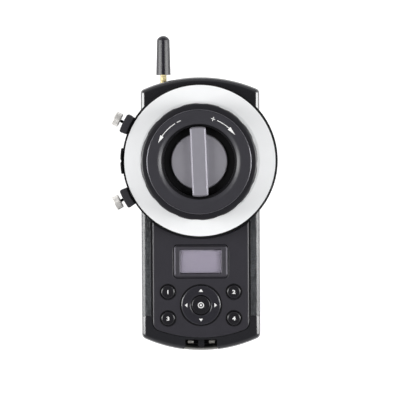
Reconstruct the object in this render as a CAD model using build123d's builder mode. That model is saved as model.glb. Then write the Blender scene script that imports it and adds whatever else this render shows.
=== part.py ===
from build123d import *
from math import asin, cos, degrees, radians, sin, sqrt
import os

# Remote focus controller. Millimetres, +Z out of the front, +Y towards the antenna.
# The origin is on the wheel axis, in the plane of the back.

# Fits and clearances
overrun = 1.0
run_gap = 0.05
seat_gap = 0.15
move_gap = 0.3
groove = 0.3

# Body: outline, halves and walls
body_width = 70.0
body_top = 48.85
body_bottom = 112.95
upper_end_radius = 84.0
lower_end_radius = 80.5
body_corner = 3.2
upper_corner_share = 0.85
body_depth = 34.0
back_depth = 9.0
body_wall = 2.4
front_wall = 2.4
back_wall = 2.4
front_edge = 2.6
back_edge = 2.0
lip_height = 1.6
lip_wall = 1.0
seam_height = 0.3
seam_depth = 0.3
inner_corner = 0.8

# Side grips let into the body
grip_depth = 1.0
grip_width = 5.5
grip_top = 29.5
grip_bottom = 92.2
grip_hem = 1.2

# Keypad panel
panel_margin = 1.1
panel_bottom = 105.0
panel_end_radius = 73.0
panel_groove = 0.55
panel_corner = 5.0
panel_thickness = 1.3
panel_rise = 0.5
panel_bevel = 0.35

# Display
display_y = -59.85
bezel_width = 31.7
bezel_height = 19.1
bezel_corner = 2.0
bezel_rise = 1.4
bezel_bevel = 0.9
bezel_groove = 0.5
window_width = 24.2
window_height = 13.7
window_corner = 0.8
window_thickness = 1.0
window_sink = 0.45
window_bevel = 0.4
glass_width = 24.74
glass_height = 16.9
glass_thickness = 1.45
carrier_rim = 0.8

# Keypad
button_shift = 0.7
button_row_offset = 7.85
button_groove = 0.45
button_radius = 4.0
button_rise = 1.0
button_dome = 0.7
button_flange_rim = 0.8
button_flange_thickness = 0.8
button_travel = 0.6
button_stem = 1.5
dpad_y = -85.7
dpad_radius = 11.6
dpad_bore = 6.0
dpad_rise = 0.8
dpad_edge = 0.5
dpad_rim = 1.0
dpad_rim_thickness = 0.8
dpad_sink = 0.5
nub_radius = 0.55
nub_reach = 7.3
nub_gap = 0.3
centre_radius = 5.5
centre_rim = 0.8
centre_sink = 0.4
centre_flange_thickness = 0.6
centre_travel = 0.5
switch_size = 3.0
switch_height = 0.6
switch_dome = 1.1
switch_dome_height = 0.2
keyboard_thickness = 1.6
keyboard_depth = 4.4
keyboard_corner = 4.0
keyboard_margin = 0.4
keyboard_top = -47.0
keyboard_bottom = -101.8
standoff_radius = 2.0
standoff_inset = 2.1
standoff_y_1 = -51.0
standoff_x_2 = 12.5
standoff_y_2 = -99.3
board_screw_radius = 0.8
board_screw_head = 1.6
board_screw_head_height = 1.0

# Tilting ring under the pad
gimbal_inner = 9.2
gimbal_outer = 10.2
gimbal_thickness = 1.0
gimbal_lift = 0.7
pin_radius = 0.35
pin_reach = 1.2
leg_gap = 0.2
leg_thickness = 0.6
leg_width = 2.4
cradle_gap = 0.2
cradle_wall = 1.2

# Strap recess in the lower end
strap_width = 18.8
strap_inner = 106.1
strap_lift = 4.0
strap_wall = 1.4
strap_pin_radius = 0.9
strap_pin_y = -108.15
strap_pin_drop = 7.0
strap_pin_seat = 1.0
strap_post = 3.6
guard_thickness = 1.6
guard_inset = 0.45
guard_seat = 0.6
guard_drop = 0.6

# Screws that hold the two halves
screw_inset = 7.0
screw_y_1 = 32.0
screw_y_2 = -37.5
screw_y_3 = -96.5
boss_radius = 3.0
screw_radius = 1.0
screw_length = 12.0
screw_seat = 3.0
screw_head_radius = 2.2
screw_head_height = 1.6
screw_head_gap = 0.2

# Battery and its door
battery_margin = 3.9
battery_length = 56.8
battery_headroom = 3.0
battery_corner = 2.5
battery_bevel = 0.6
battery_end = 14.05
bay_gap = 0.4
bay_wall = 1.5
door_thickness = 2.2
door_ledge = 1.2
door_gap = 0.3
door_corner = 2.0
hinge_radius = 1.7
hinge_pin_radius = 0.8
hinge_offset = 2.1
hinge_width = 26.0
hinge_cheek = 3.0
hinge_pin_seat = 2.4
hinge_cover = 1.2
latch_width = 12.0
latch_length = 5.5
latch_travel = 2.0
latch_rail = 0.7
latch_tongue_width = 8.0
latch_tongue = 1.5
latch_sheet = 0.8
latch_rib = 0.5
latch_rib_height = 0.35
contact_width = 2.0
contact_height = 7.0
contact_thickness = 0.3
contact_pitch = 4.0
contact_count = 4

# Tripod thread in the back
thread_bore = 2.55
insert_radius = 4.75
insert_headroom = 2.8
insert_flange = 6.0
insert_flange_thickness = 1.0
insert_wall = 2.6

# Boards inside
main_margin = 1.0
main_top = 41.5
main_bottom = 36.0
main_thickness = 1.6
main_post_inset = 4.0
main_post_y = 31.0
main_post_radius = 2.5
radio_width = 16.0
radio_length = 20.0
radio_thickness = 2.4
radio_inset = 3.0
radio_y = 26.0
sensor_size = 5.0
sensor_height = 1.2
sensor_gap = 0.9
magnet_radius = 3.0
magnet_thickness = 2.0

# Power button in the upper end
power_radius = 3.0
power_drop = 14.0
power_sink = 0.2
power_round = 0.4
power_rim = 0.8
power_rim_thickness = 0.8
power_travel = 0.6
power_stem = 0.5
power_switch_width = 6.0
power_switch_length = 5.0

# Antenna
antenna_inset = 13.2
antenna_drop = 12.0
antenna_base = 50.4
antenna_tip = 73.6
antenna_base_radius = 4.3
antenna_tip_radius = 3.8
antenna_socket = 2.6
antenna_dome = 2.6
neck_radius = 1.85
neck_flange = 3.6
neck_flange_thickness = 1.4
antenna_boss_radius = 5.0
antenna_boss_y = 39.4

# Bearing carrier and shaft
shaft_radius = 4.0
bearing_radius = 8.0
bearing_height = 5.0
bearing_groove = 0.3
race_share = 0.25
bearing_span = 4.0
bearing_shoulder = 1.4
carrier_radius = 12.9
carrier_flange = 17.0
carrier_flange_thickness = 2.5
carrier_top_gap = 1.0
shaft_tail = 3.0
ring_groove = 0.7
ring_grip = 2.5
ring_bite = 0.4
ring_opening = 3.0
shaft_bevel = 0.4
shaft_rise = 8.2

# Track ring and stops, carried by the body
track_margin = 1.0
track_height = 8.0
track_floor = 2.0
track_wall = 1.7
lip_reach = 1.9
lip_tall = 3.4
block_depth = 4.25
block_width = 11.75
block_angle = 26.75
block_round = 1.2
block_finger = 5.2
block_finger_thickness = 1.7
block_foot = 1.7
block_above = 0.9
foot_gap = 0.4
thumb_shank = 0.9
thumb_neck = 2.1
thumb_head = 4.1
thumb_head_length = 4.1
thumb_bevel = 0.4
index_reach = 0.95
index_width = 15.0
index_waist = 0.45
index_waist_radius = 1.6
index_top_drop = 0.6
index_round = 0.5
track_screw_margin = 12.7
track_screw_count = 4
track_screw_start = 45.0
track_screw_length = 3.4
track_screw_head = 1.2

# Wheel
ring_radius = 44.15
ring_rim = 1.2
ring_rise = 2.0
ring_flat = 5.85
rim_step = 0.4
flange_thickness = 1.6
flange_lift = 0.5
hub_radius = 16.5
spigot_radius = 29.0
spigot_wall = 9.0
lug_width = 5.0
lug_depth = 3.0
lug_inset = 0.9
friction_inner = 11.5
friction_thickness = 0.8
washer_inner = 12.0
washer_outer = 15.5
washer_thickness = 0.95
ring_magnet_radius = 1.5
ring_magnet_height = 1.0
ring_magnet_margin = 3.0
ring_magnet_count = 6
drive_pin_radius = 1.2
drive_pin_length = 6.0
drive_pin_count = 3

# Hand knob
knob_gap = 0.6
knob_height = 22.0
knob_radius = 33.6
face_radius = 29.8
face_bevel = 0.3
knob_step = 0.5
knob_round = 1.4
scallop_count = 16
scallop_depth = 0.55
scallop_radius = 20.0
scallop_start = 110.0
bowl_radius = 20.5
bowl_depth = 10.0
bowl_floor = 3.0
bowl_round = 4.0
knob_skirt = 3.3

# Clamp knob in the bowl
disc_radius = 16.15
disc_thickness = 1.7
disc_bevel = 0.4
bar_length = 40.2
bar_width = 9.1
bar_height = 7.0
bar_end_radius = 20.1
bar_corner = 1.1
bar_bevel = 0.8
bar_turn = 2.1
lock_screw_radius = 2.0
lock_screw_depth = 8.0
lock_collar = 3.0

# Places across the body, from its sides inwards
half_width = body_width / 2
grip_inner = half_width - grip_width
panel_width = 2 * (grip_inner - panel_margin)
screw_x = half_width - screw_inset
boss_inner = screw_x - boss_radius
keyboard_width = 2 * (boss_inner - keyboard_margin)
standoff_x_1 = keyboard_width / 2 - standoff_inset
main_width = 2 * (boss_inner - main_margin)
main_post_x = main_width / 2 - main_post_inset
radio_x = radio_width / 2 + radio_inset - main_width / 2
battery_width = 2 * (boss_inner - battery_margin - bay_wall - bay_gap)
antenna_x = antenna_inset - half_width

# Heights along the wheel axis, from the back
track_base = body_depth
track_top = track_base + track_height
lip_bottom = track_top - lip_tall
thumb_z = lip_bottom + lip_tall / 2
finger_bottom = track_top + move_gap
finger_top = finger_bottom + block_finger_thickness
flange_bottom = finger_top + flange_lift
ring_base = flange_bottom + flange_thickness
ring_top = ring_base + ring_rim + ring_rise
knob_base = ring_top + knob_gap
knob_top = knob_base + knob_height
bowl_z = knob_top - bowl_depth
disc_z = bowl_z + move_gap
bar_z = disc_z + disc_thickness
carrier_top = body_depth + carrier_flange_thickness
upper_bearing_z = carrier_top - carrier_top_gap - bearing_height
lower_bearing_z = upper_bearing_z - bearing_span - bearing_height
shaft_bottom = lower_bearing_z - shaft_tail
friction_top = carrier_top + friction_thickness
hub_bottom = friction_top + move_gap + washer_thickness
shaft_top = knob_base + shaft_rise

main_height = shaft_bottom - magnet_thickness - sensor_gap - sensor_height - main_thickness
insert_length = main_height - insert_headroom - insert_flange_thickness
power_height = body_depth - power_drop
antenna_height = body_depth - antenna_drop
strap_floor = back_depth + lip_height + strap_lift + strap_wall
strap_pin_z = body_depth - strap_pin_drop

# Radii round the wheel axis
flange_radius = ring_radius + rim_step
track_radius = flange_radius + track_margin
track_neck = track_radius - lip_reach
track_inner = track_neck - track_wall
block_inner = track_radius + move_gap
block_outer = block_inner + block_depth
finger_radius = track_radius - block_finger
track_screw_circle = carrier_flange + groove + track_screw_margin
ring_inner = spigot_radius + seat_gap
ring_flat_radius = ring_inner + ring_flat
ring_magnet_circle = spigot_radius + ring_magnet_margin

# Heights through the keypad
front_inside = body_depth - front_wall
panel_seat = body_depth + panel_rise - panel_thickness
panel_top = body_depth + panel_rise
keyboard_z = body_depth - keyboard_depth
switch_top = keyboard_z + switch_height
button_top = panel_top + button_rise
button_flange_top = panel_seat - seat_gap
dpad_top = panel_top + dpad_rise
dpad_rim_top = panel_seat - dpad_sink
dpad_bottom = dpad_rim_top - dpad_rim_thickness
gimbal_z = keyboard_z + gimbal_lift
pivot_z = gimbal_z + gimbal_thickness / 2
bezel_top = body_depth + bezel_rise
window_top = bezel_top - window_sink
window_seat = window_top - window_thickness
glass_top = panel_seat - seat_gap
glass_bottom = glass_top - glass_thickness

# Battery bay and door, seen from the back
battery_y = battery_end + battery_length / 2 - body_bottom
battery_z = door_thickness + seat_gap
bay_ceiling = keyboard_z - keyboard_thickness - battery_headroom - bay_wall
battery_thickness = bay_ceiling - seat_gap - battery_z
bay_width = battery_width + 2 * bay_gap
bay_length = battery_length + 2 * bay_gap
bay_upper = battery_y + bay_length / 2
door_width = bay_width + 2 * (door_ledge - door_gap)
opening_width = bay_width + 2 * door_ledge
opening_lower = battery_y - bay_length / 2 - door_ledge
hinge_y = bay_upper + bay_wall + hinge_offset
hinge_z = hinge_radius
hinge_reach = hinge_radius + door_gap
hinge_run = hinge_y - bay_upper - door_ledge
swing_gap = sqrt(hinge_run**2 + hinge_z**2) - hinge_run + seat_gap
latch_notch = latch_length + latch_travel + move_gap

strap_outer = body_bottom - guard_thickness

# Places that repeat
dpad_hole = dpad_radius + groove + seat_gap
pad_chord = sqrt(dpad_hole**2 - button_row_offset**2)
button_x = (pad_chord + panel_width / 2) / 2 + button_shift
buttons = [(side * button_x, dpad_y + row * button_row_offset) for row in (1, -1) for side in (-1, 1)]
screw_places = [(side * screw_x, y) for side in (-1, 1) for y in (screw_y_1, screw_y_2, screw_y_3)]
standoffs = [(side * x, y) for side in (-1, 1)
             for x, y in ((standoff_x_1, standoff_y_1), (standoff_x_2, standoff_y_2))]
nub_spots = [(nub_reach, 0), (0, nub_reach), (-nub_reach, 0), (0, -nub_reach)]
button_hole = button_radius + button_groove
flange_hole = button_radius + button_flange_rim + seat_gap + groove
dpad_flange = dpad_hole + dpad_rim
dpad_pocket = dpad_flange + groove


def outline(inset, corner, height):
    """Plan outline of the body, moved inwards by inset, at a height."""
    half = half_width - inset
    upper = upper_end_radius - inset
    lower = lower_end_radius - inset
    top = body_top - inset
    bottom = inset - body_bottom
    shoulder = top - upper + sqrt(upper**2 - half**2)
    heel = bottom + lower - sqrt(lower**2 - half**2)
    with BuildSketch(Plane.XY.offset(height)) as plan:
        with BuildLine():
            ThreePointArc((-half, shoulder), (0, top), (half, shoulder))
            Line((half, shoulder), (half, heel))
            ThreePointArc((half, heel), (0, bottom), (-half, heel))
            Line((-half, heel), (-half, shoulder))
        make_face()
        fillet(plan.vertices().group_by(Axis.Y)[0], radius=corner)
        fillet(plan.vertices().group_by(Axis.Y)[-1], radius=corner * upper_corner_share)
    return plan.sketch


def panel_outline(inset, height):
    """Keypad panel: straight sides, a rounded lower end, and a hollow upper end round the wheel."""
    half = panel_width / 2 - inset
    radius = panel_end_radius - inset
    drop = radius - sqrt(radius**2 - half**2)
    bottom = inset - panel_bottom
    hollow = track_radius + panel_groove + inset
    top = -sqrt(hollow**2 - half**2)
    with BuildSketch(Plane.XY.offset(height)) as plan:
        with BuildLine():
            Line((-half, bottom + drop), (-half, top))
            ThreePointArc((-half, top), (0, -hollow), (half, top))
            Line((half, top), (half, bottom + drop))
            ThreePointArc((half, bottom + drop), (0, bottom), (-half, bottom + drop))
        make_face()
        fillet(plan.vertices().group_by(Axis.Y)[0], radius=panel_corner - inset)
    return plan.sketch


def guard_outline(spread, height):
    """Strip along the lower end of the body, across the strap recess."""
    with BuildSketch(Plane.XY.offset(height)) as plan:
        with Locations((0, lower_end_radius - body_bottom)):
            Circle(lower_end_radius - guard_inset + spread)
            Circle(lower_end_radius - guard_thickness, mode=Mode.SUBTRACT)
        with Locations((0, -body_bottom)):
            Rectangle(strap_width + 2 * guard_seat, lower_end_radius, mode=Mode.INTERSECT)
    return plan.sketch


def radial_plane(angle):
    """Plane through the wheel axis: local x points outwards at the angle, local y points up."""
    turn = radians(angle)
    return Plane(origin=(0, 0, 0), x_dir=(cos(turn), sin(turn), 0), z_dir=(sin(turn), -cos(turn), 0))


def save(piece, name):
    """Label a finished piece and write its file."""
    piece.part.label = name
    export_step(piece.part, f"parts/{name}.step")


os.makedirs("parts", exist_ok=True)

# Outer form of the front half, and the same form where the grips lie on it
with BuildPart() as skin:
    extrude(outline(0, body_corner, back_depth), amount=body_depth - back_depth)
    fillet(skin.faces().sort_by(Axis.Z)[-1].edges(), radius=front_edge)

with BuildPart() as core:
    extrude(
        outline(grip_depth, body_corner - grip_depth, back_depth),
        amount=body_depth - back_depth - grip_depth,
    )
    fillet(core.faces().sort_by(Axis.Z)[-1].edges(), radius=front_edge - grip_depth)


def grip_strip(gap):
    """The layer between the two forms, on the left side, with a gap round its edge."""
    hem = back_depth + grip_hem
    with BuildPart() as strip:
        add(skin.part)
        add(core.part, mode=Mode.SUBTRACT)
        with BuildSketch(Plane.XY.offset(hem - gap)):
            with BuildLine():
                Polyline(
                    (-half_width - overrun, -grip_bottom - gap),
                    (-grip_inner + gap, -grip_bottom - gap),
                    (-grip_inner + gap, grip_top + gap),
                    (-half_width - overrun, grip_top + gap),
                    close=True,
                )
            make_face()
        extrude(amount=body_depth - hem + gap + overrun, mode=Mode.INTERSECT)
    return strip.part


with BuildPart() as left_grip:
    add(grip_strip(0))
save(left_grip, "left_grip")

with BuildPart() as right_grip:
    add(grip_strip(0).mirror(Plane.YZ))
save(right_grip, "right_grip")

# Front half of the body
with BuildPart() as front_housing:
    add(skin.part)
    add(grip_strip(groove), mode=Mode.SUBTRACT)
    add(grip_strip(groove).mirror(Plane.YZ), mode=Mode.SUBTRACT)
    # fine step round the seam with the rear half
    with BuildSketch(Plane.XY.offset(back_depth)):
        add(outline(0, body_corner, back_depth))
        add(outline(seam_depth, body_corner - seam_depth, back_depth), mode=Mode.SUBTRACT)
    extrude(amount=seam_height, mode=Mode.SUBTRACT)
    # inside, with the two thick end walls left for the strap recess
    extrude(
        outline(body_wall, inner_corner, back_depth),
        amount=front_inside - back_depth,
        mode=Mode.SUBTRACT,
    )
    # walls of the strap recess
    with BuildSketch(Plane.XY.offset(strap_floor - strap_wall)):
        with Locations((0, -(strap_inner - strap_wall))):
            Rectangle(
                strap_width + 2 * strap_wall,
                body_bottom - body_wall / 2 - strap_inner + strap_wall,
                align=(Align.CENTER, Align.MAX),
            )
    extrude(amount=body_depth - front_edge - strap_floor + strap_wall)
    with BuildSketch(Plane.XY.offset(strap_floor)):
        with Locations((0, -strap_inner)):
            Rectangle(
                strap_width,
                body_bottom - strap_inner + overrun,
                align=(Align.CENTER, Align.MAX),
            )
    extrude(amount=body_depth - strap_floor + overrun, mode=Mode.SUBTRACT)
    # seats of the curved guard in the side walls of the recess
    extrude(
        guard_outline(overrun, strap_floor),
        amount=body_depth - strap_floor + overrun,
        mode=Mode.SUBTRACT,
    )
    # post in the middle of the recess, round the pin
    with BuildSketch(Plane.XY.offset(strap_floor)):
        with Locations((0, -strap_inner)):
            Rectangle(
                strap_post,
                strap_outer - strap_inner - groove,
                align=(Align.CENTER, Align.MAX),
            )
    extrude(amount=strap_pin_z + 2 * strap_pin_radius - strap_floor)
    with BuildSketch(Plane.YZ.offset(-strap_width / 2 - strap_pin_seat)):
        with Locations((strap_pin_y, strap_pin_z)):
            Circle(strap_pin_radius)
    extrude(amount=strap_width + 2 * strap_pin_seat, mode=Mode.SUBTRACT)
    # shallow seat of the keypad panel
    extrude(panel_outline(-panel_groove, panel_seat), amount=front_wall, mode=Mode.SUBTRACT)
    # openings under the panel
    with BuildSketch(Plane.XY.offset(front_inside - overrun)):
        with Locations(*buttons):
            Circle(flange_hole)
        with Locations((0, dpad_y)):
            Circle(dpad_pocket)
        with Locations((0, display_y)):
            Rectangle(glass_width + 2 * groove, glass_height + 2 * groove)
        Circle(carrier_radius + seat_gap)
    extrude(amount=front_wall + 2 * overrun, mode=Mode.SUBTRACT)
    with BuildSketch(Plane.XY.offset(front_inside)):
        with PolarLocations(track_screw_circle, track_screw_count, start_angle=track_screw_start):
            Circle(screw_radius)
    extrude(amount=front_wall, mode=Mode.SUBTRACT)
    # posts that carry the keypad board
    with BuildSketch(Plane.XY.offset(keyboard_z)):
        with Locations(*standoffs):
            Circle(standoff_radius)
            Circle(board_screw_radius, mode=Mode.SUBTRACT)
    extrude(amount=front_inside - keyboard_z)
    # bosses for the screws of the back half
    with BuildSketch(Plane.XY.offset(back_depth)):
        with Locations(*screw_places):
            Circle(boss_radius)
            Circle(screw_radius, mode=Mode.SUBTRACT)
    extrude(amount=front_inside - back_depth)
    # boss and hole of the antenna neck
    boss_side = antenna_x - antenna_boss_radius
    boss_arc = sqrt(upper_end_radius**2 - boss_side**2)
    boss_end = body_top - upper_end_radius + boss_arc - seat_gap
    with BuildSketch(Plane.XZ.offset(-antenna_boss_y)):
        with Locations((antenna_x, antenna_height)):
            Circle(antenna_boss_radius)
    extrude(amount=antenna_boss_y - boss_end)
    with BuildSketch(Plane.XZ.offset(-antenna_boss_y + overrun)):
        with Locations((antenna_x, antenna_height)):
            Circle(neck_radius)
    extrude(amount=-(body_top - antenna_boss_y + 2 * overrun), mode=Mode.SUBTRACT)
    # hole of the power button
    with BuildSketch(Plane.XZ.offset(-(body_top - body_wall - overrun))):
        with Locations((0, power_height)):
            Circle(power_radius + seat_gap)
    extrude(amount=-(body_wall + 2 * overrun), mode=Mode.SUBTRACT)
save(front_housing, "front_housing")

# Strap pin across the recess, and the curved guard that closes it
with BuildPart() as strap_pin:
    with BuildSketch(Plane.YZ.offset(-strap_width / 2 - strap_pin_seat)):
        with Locations((strap_pin_y, strap_pin_z)):
            Circle(strap_pin_radius)
    extrude(amount=strap_width + 2 * strap_pin_seat)
save(strap_pin, "strap_pin")

with BuildPart() as strap_guard:
    extrude(guard_outline(0, strap_floor), amount=body_depth - guard_drop - strap_floor)
    chamfer(strap_guard.faces().sort_by(Axis.Z)[-1].edges(), length=guard_drop / 2)
save(strap_guard, "strap_guard")

# Keypad panel with its openings
with BuildPart() as keypad_panel:
    extrude(panel_outline(0, panel_seat), amount=panel_thickness)
    chamfer(keypad_panel.faces().sort_by(Axis.Z)[-1].edges(), length=panel_bevel)
    with BuildSketch(Plane.XY.offset(panel_seat)):
        with Locations(*buttons):
            Circle(button_hole)
        with Locations((0, dpad_y)):
            Circle(dpad_hole)
        with Locations((0, display_y)):
            RectangleRounded(
                bezel_width + 2 * bezel_groove,
                bezel_height + 2 * bezel_groove,
                bezel_corner + bezel_groove,
            )
    extrude(amount=panel_thickness, mode=Mode.SUBTRACT)
save(keypad_panel, "keypad_panel")

# Display: bevelled bezel, window, glass panel and its carrier
with BuildPart() as display_bezel:
    with BuildSketch(Plane.XY.offset(panel_seat)):
        with Locations((0, display_y)):
            RectangleRounded(bezel_width, bezel_height, bezel_corner)
    extrude(amount=bezel_top - panel_seat)
    chamfer(display_bezel.faces().sort_by(Axis.Z)[-1].edges(), length=bezel_bevel)
    with BuildSketch(Plane.XY.offset(panel_seat)):
        with Locations((0, display_y)):
            RectangleRounded(window_width, window_height, window_corner)
    extrude(amount=bezel_top - panel_seat, mode=Mode.SUBTRACT)
    chamfer(
        display_bezel.faces().sort_by(Axis.Z)[-1].inner_wires().edges(),
        length=window_bevel,
    )
save(display_bezel, "display_bezel")

with BuildPart() as display_window:
    with BuildSketch(Plane.XY.offset(window_seat)):
        with Locations((0, display_y)):
            RectangleRounded(window_width, window_height, window_corner)
    extrude(amount=window_thickness)
save(display_window, "display_window")

with BuildPart() as display_module:
    with BuildSketch(Plane.XY.offset(glass_bottom)):
        with Locations((0, display_y)):
            Rectangle(glass_width, glass_height)
    extrude(amount=glass_thickness)
save(display_module, "display_module")

with BuildPart() as display_carrier:
    with BuildSketch(Plane.XY.offset(keyboard_z)):
        with Locations((0, display_y)):
            Rectangle(glass_width - carrier_rim, glass_height - carrier_rim)
            Rectangle(
                glass_width - carrier_rim - 2 * glass_thickness,
                glass_height - carrier_rim - 2 * glass_thickness,
                mode=Mode.SUBTRACT,
            )
    extrude(amount=glass_bottom - keyboard_z)
save(display_carrier, "display_carrier")

# Round buttons: domed cap, hidden flange, stem
for number, (x, y) in enumerate(buttons, start=1):
    with BuildPart() as button:
        flange_bottom_z = button_flange_top - button_flange_thickness
        stem_bottom = switch_top + button_travel + run_gap
        with BuildSketch(Plane.XY.offset(flange_bottom_z)):
            with Locations((x, y)):
                Circle(button_radius + button_flange_rim)
        extrude(amount=button_flange_thickness)
        with BuildSketch(Plane.XY.offset(button_flange_top)):
            with Locations((x, y)):
                Circle(button_radius)
        extrude(amount=button_top - button_flange_top)
        fillet(button.faces().sort_by(Axis.Z)[-1].edges(), radius=button_dome)
        with BuildSketch(Plane.XY.offset(stem_bottom)):
            with Locations((x, y)):
                Circle(button_stem)
        extrude(amount=flange_bottom_z - stem_bottom)
    save(button, f"button_{number}")

# Pad that tilts about both axes: top ring, rim under the panel, nubs and two legs
with BuildPart() as dpad_ring:
    with BuildSketch(Plane.XY.offset(dpad_bottom)):
        with Locations((0, dpad_y)):
            Circle(dpad_flange)
    extrude(amount=dpad_rim_thickness)
    with BuildSketch(Plane.XY.offset(dpad_rim_top)):
        with Locations((0, dpad_y)):
            Circle(dpad_radius)
    extrude(amount=dpad_top - dpad_rim_top)
    fillet(dpad_ring.faces().sort_by(Axis.Z)[-1].edges(), radius=dpad_edge)
    with BuildSketch(Plane.XY.offset(dpad_bottom)):
        with Locations((0, dpad_y)):
            Circle(dpad_bore)
    extrude(amount=dpad_top - dpad_bottom, mode=Mode.SUBTRACT)
    chamfer(
        dpad_ring.faces().sort_by(Axis.Z)[-1].inner_wires().edges(),
        length=dpad_edge / 2,
    )
    with BuildSketch(Plane.XY.offset(switch_top + nub_gap)):
        with Locations(Plane((0, dpad_y, 0))):
            with Locations(*nub_spots):
                Circle(nub_radius)
    extrude(amount=dpad_bottom - switch_top - nub_gap)
    with BuildSketch(Plane.XY.offset(gimbal_z)):
        for side in (-1, 1):
            with Locations((0, dpad_y + side * (gimbal_outer + leg_gap + leg_thickness / 2))):
                Rectangle(leg_width, leg_thickness)
    extrude(amount=dpad_bottom - gimbal_z)
    with BuildSketch(Plane.XZ.offset(-(dpad_y - gimbal_outer - pin_reach))):
        with Locations((0, pivot_z)):
            Circle(pin_radius + run_gap)
    extrude(amount=-2 * (gimbal_outer + pin_reach), mode=Mode.SUBTRACT)
save(dpad_ring, "dpad_ring")

with BuildPart() as dpad_gimbal:
    with BuildSketch(Plane.XY.offset(gimbal_z)):
        with Locations((0, dpad_y)):
            Circle(gimbal_outer)
            Circle(gimbal_inner, mode=Mode.SUBTRACT)
    extrude(amount=gimbal_thickness)
    leg_face = gimbal_outer + leg_gap + leg_thickness
    pin_root = gimbal_inner + (gimbal_outer - gimbal_inner) / 2
    for side in (-1, 1):
        with BuildSketch(Plane.XZ.offset(-(dpad_y + side * pin_root))):
            with Locations((0, pivot_z)):
                Circle(pin_radius)
        extrude(amount=-side * (leg_face - pin_root))
        with BuildSketch(Plane.YZ.offset(side * pin_root)):
            with Locations((dpad_y, pivot_z)):
                Circle(pin_radius)
        extrude(amount=side * (leg_face + cradle_gap + cradle_wall - pin_root))
save(dpad_gimbal, "dpad_gimbal")

with BuildPart() as dpad_cradle:
    cradle_inner = gimbal_outer + leg_gap + leg_thickness + cradle_gap
    with BuildSketch(Plane.XY.offset(keyboard_z)):
        with Locations((0, dpad_y)):
            Circle(cradle_inner + cradle_wall)
            Circle(cradle_inner, mode=Mode.SUBTRACT)
    extrude(amount=gimbal_lift + gimbal_thickness)
    with BuildSketch(Plane.YZ.offset(-cradle_inner - 2 * cradle_wall)):
        with Locations((dpad_y, pivot_z)):
            Circle(pin_radius + run_gap)
    extrude(amount=2 * (cradle_inner + 2 * cradle_wall), mode=Mode.SUBTRACT)
save(dpad_cradle, "dpad_cradle")

with BuildPart() as centre_button:
    centre_flange_top = dpad_bottom - centre_sink
    centre_flange_bottom = centre_flange_top - centre_flange_thickness
    centre_stem_bottom = switch_top + centre_travel + run_gap
    with BuildSketch(Plane.XY.offset(centre_flange_bottom)):
        with Locations((0, dpad_y)):
            Circle(centre_radius + centre_rim)
    extrude(amount=centre_flange_thickness)
    with BuildSketch(Plane.XY.offset(centre_flange_top)):
        with Locations((0, dpad_y)):
            Circle(centre_radius)
    extrude(amount=dpad_top - centre_flange_top)
    fillet(centre_button.faces().sort_by(Axis.Z)[-1].edges(), radius=dpad_edge)
    with BuildSketch(Plane.XY.offset(centre_stem_bottom)):
        with Locations((0, dpad_y)):
            Circle(button_stem)
    extrude(amount=centre_flange_bottom - centre_stem_bottom)
save(centre_button, "centre_button")

# Keypad board, its switches and its screws
switch_spots = buttons + [(0, dpad_y)] + [(x, y + dpad_y) for x, y in nub_spots]
with BuildPart() as keypad_board:
    with BuildSketch(Plane.XY.offset(keyboard_z - keyboard_thickness)):
        with BuildLine():
            Polyline(
                (-keyboard_width / 2, keyboard_top),
                (keyboard_width / 2, keyboard_top),
                (keyboard_width / 2, keyboard_bottom + keyboard_corner),
                (keyboard_width / 2 - keyboard_corner, keyboard_bottom),
                (keyboard_corner - keyboard_width / 2, keyboard_bottom),
                (-keyboard_width / 2, keyboard_bottom + keyboard_corner),
                close=True,
            )
        make_face()
        with Locations(*standoffs):
            Circle(board_screw_radius, mode=Mode.SUBTRACT)
    extrude(amount=keyboard_thickness)
save(keypad_board, "keypad_board")

with BuildPart() as dome_switches:
    base_height = switch_height - switch_dome_height
    with BuildSketch(Plane.XY.offset(keyboard_z)):
        with Locations(*switch_spots):
            Rectangle(switch_size, switch_size)
    extrude(amount=base_height)
    with BuildSketch(Plane.XY.offset(keyboard_z + base_height)):
        with Locations(*switch_spots):
            Circle(switch_dome)
    extrude(amount=switch_dome_height)
save(dome_switches, "dome_switches")

with BuildPart() as board_screws:
    screw_end = front_inside - keyboard_z + keyboard_thickness - seat_gap
    with BuildSketch(Plane.XY.offset(keyboard_z - keyboard_thickness)):
        with Locations(*standoffs):
            Circle(board_screw_radius)
    extrude(amount=screw_end)
    with BuildSketch(Plane.XY.offset(keyboard_z - keyboard_thickness - board_screw_head_height)):
        with Locations(*standoffs):
            Circle(board_screw_head)
    extrude(amount=board_screw_head_height)
save(board_screws, "board_screws")

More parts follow.
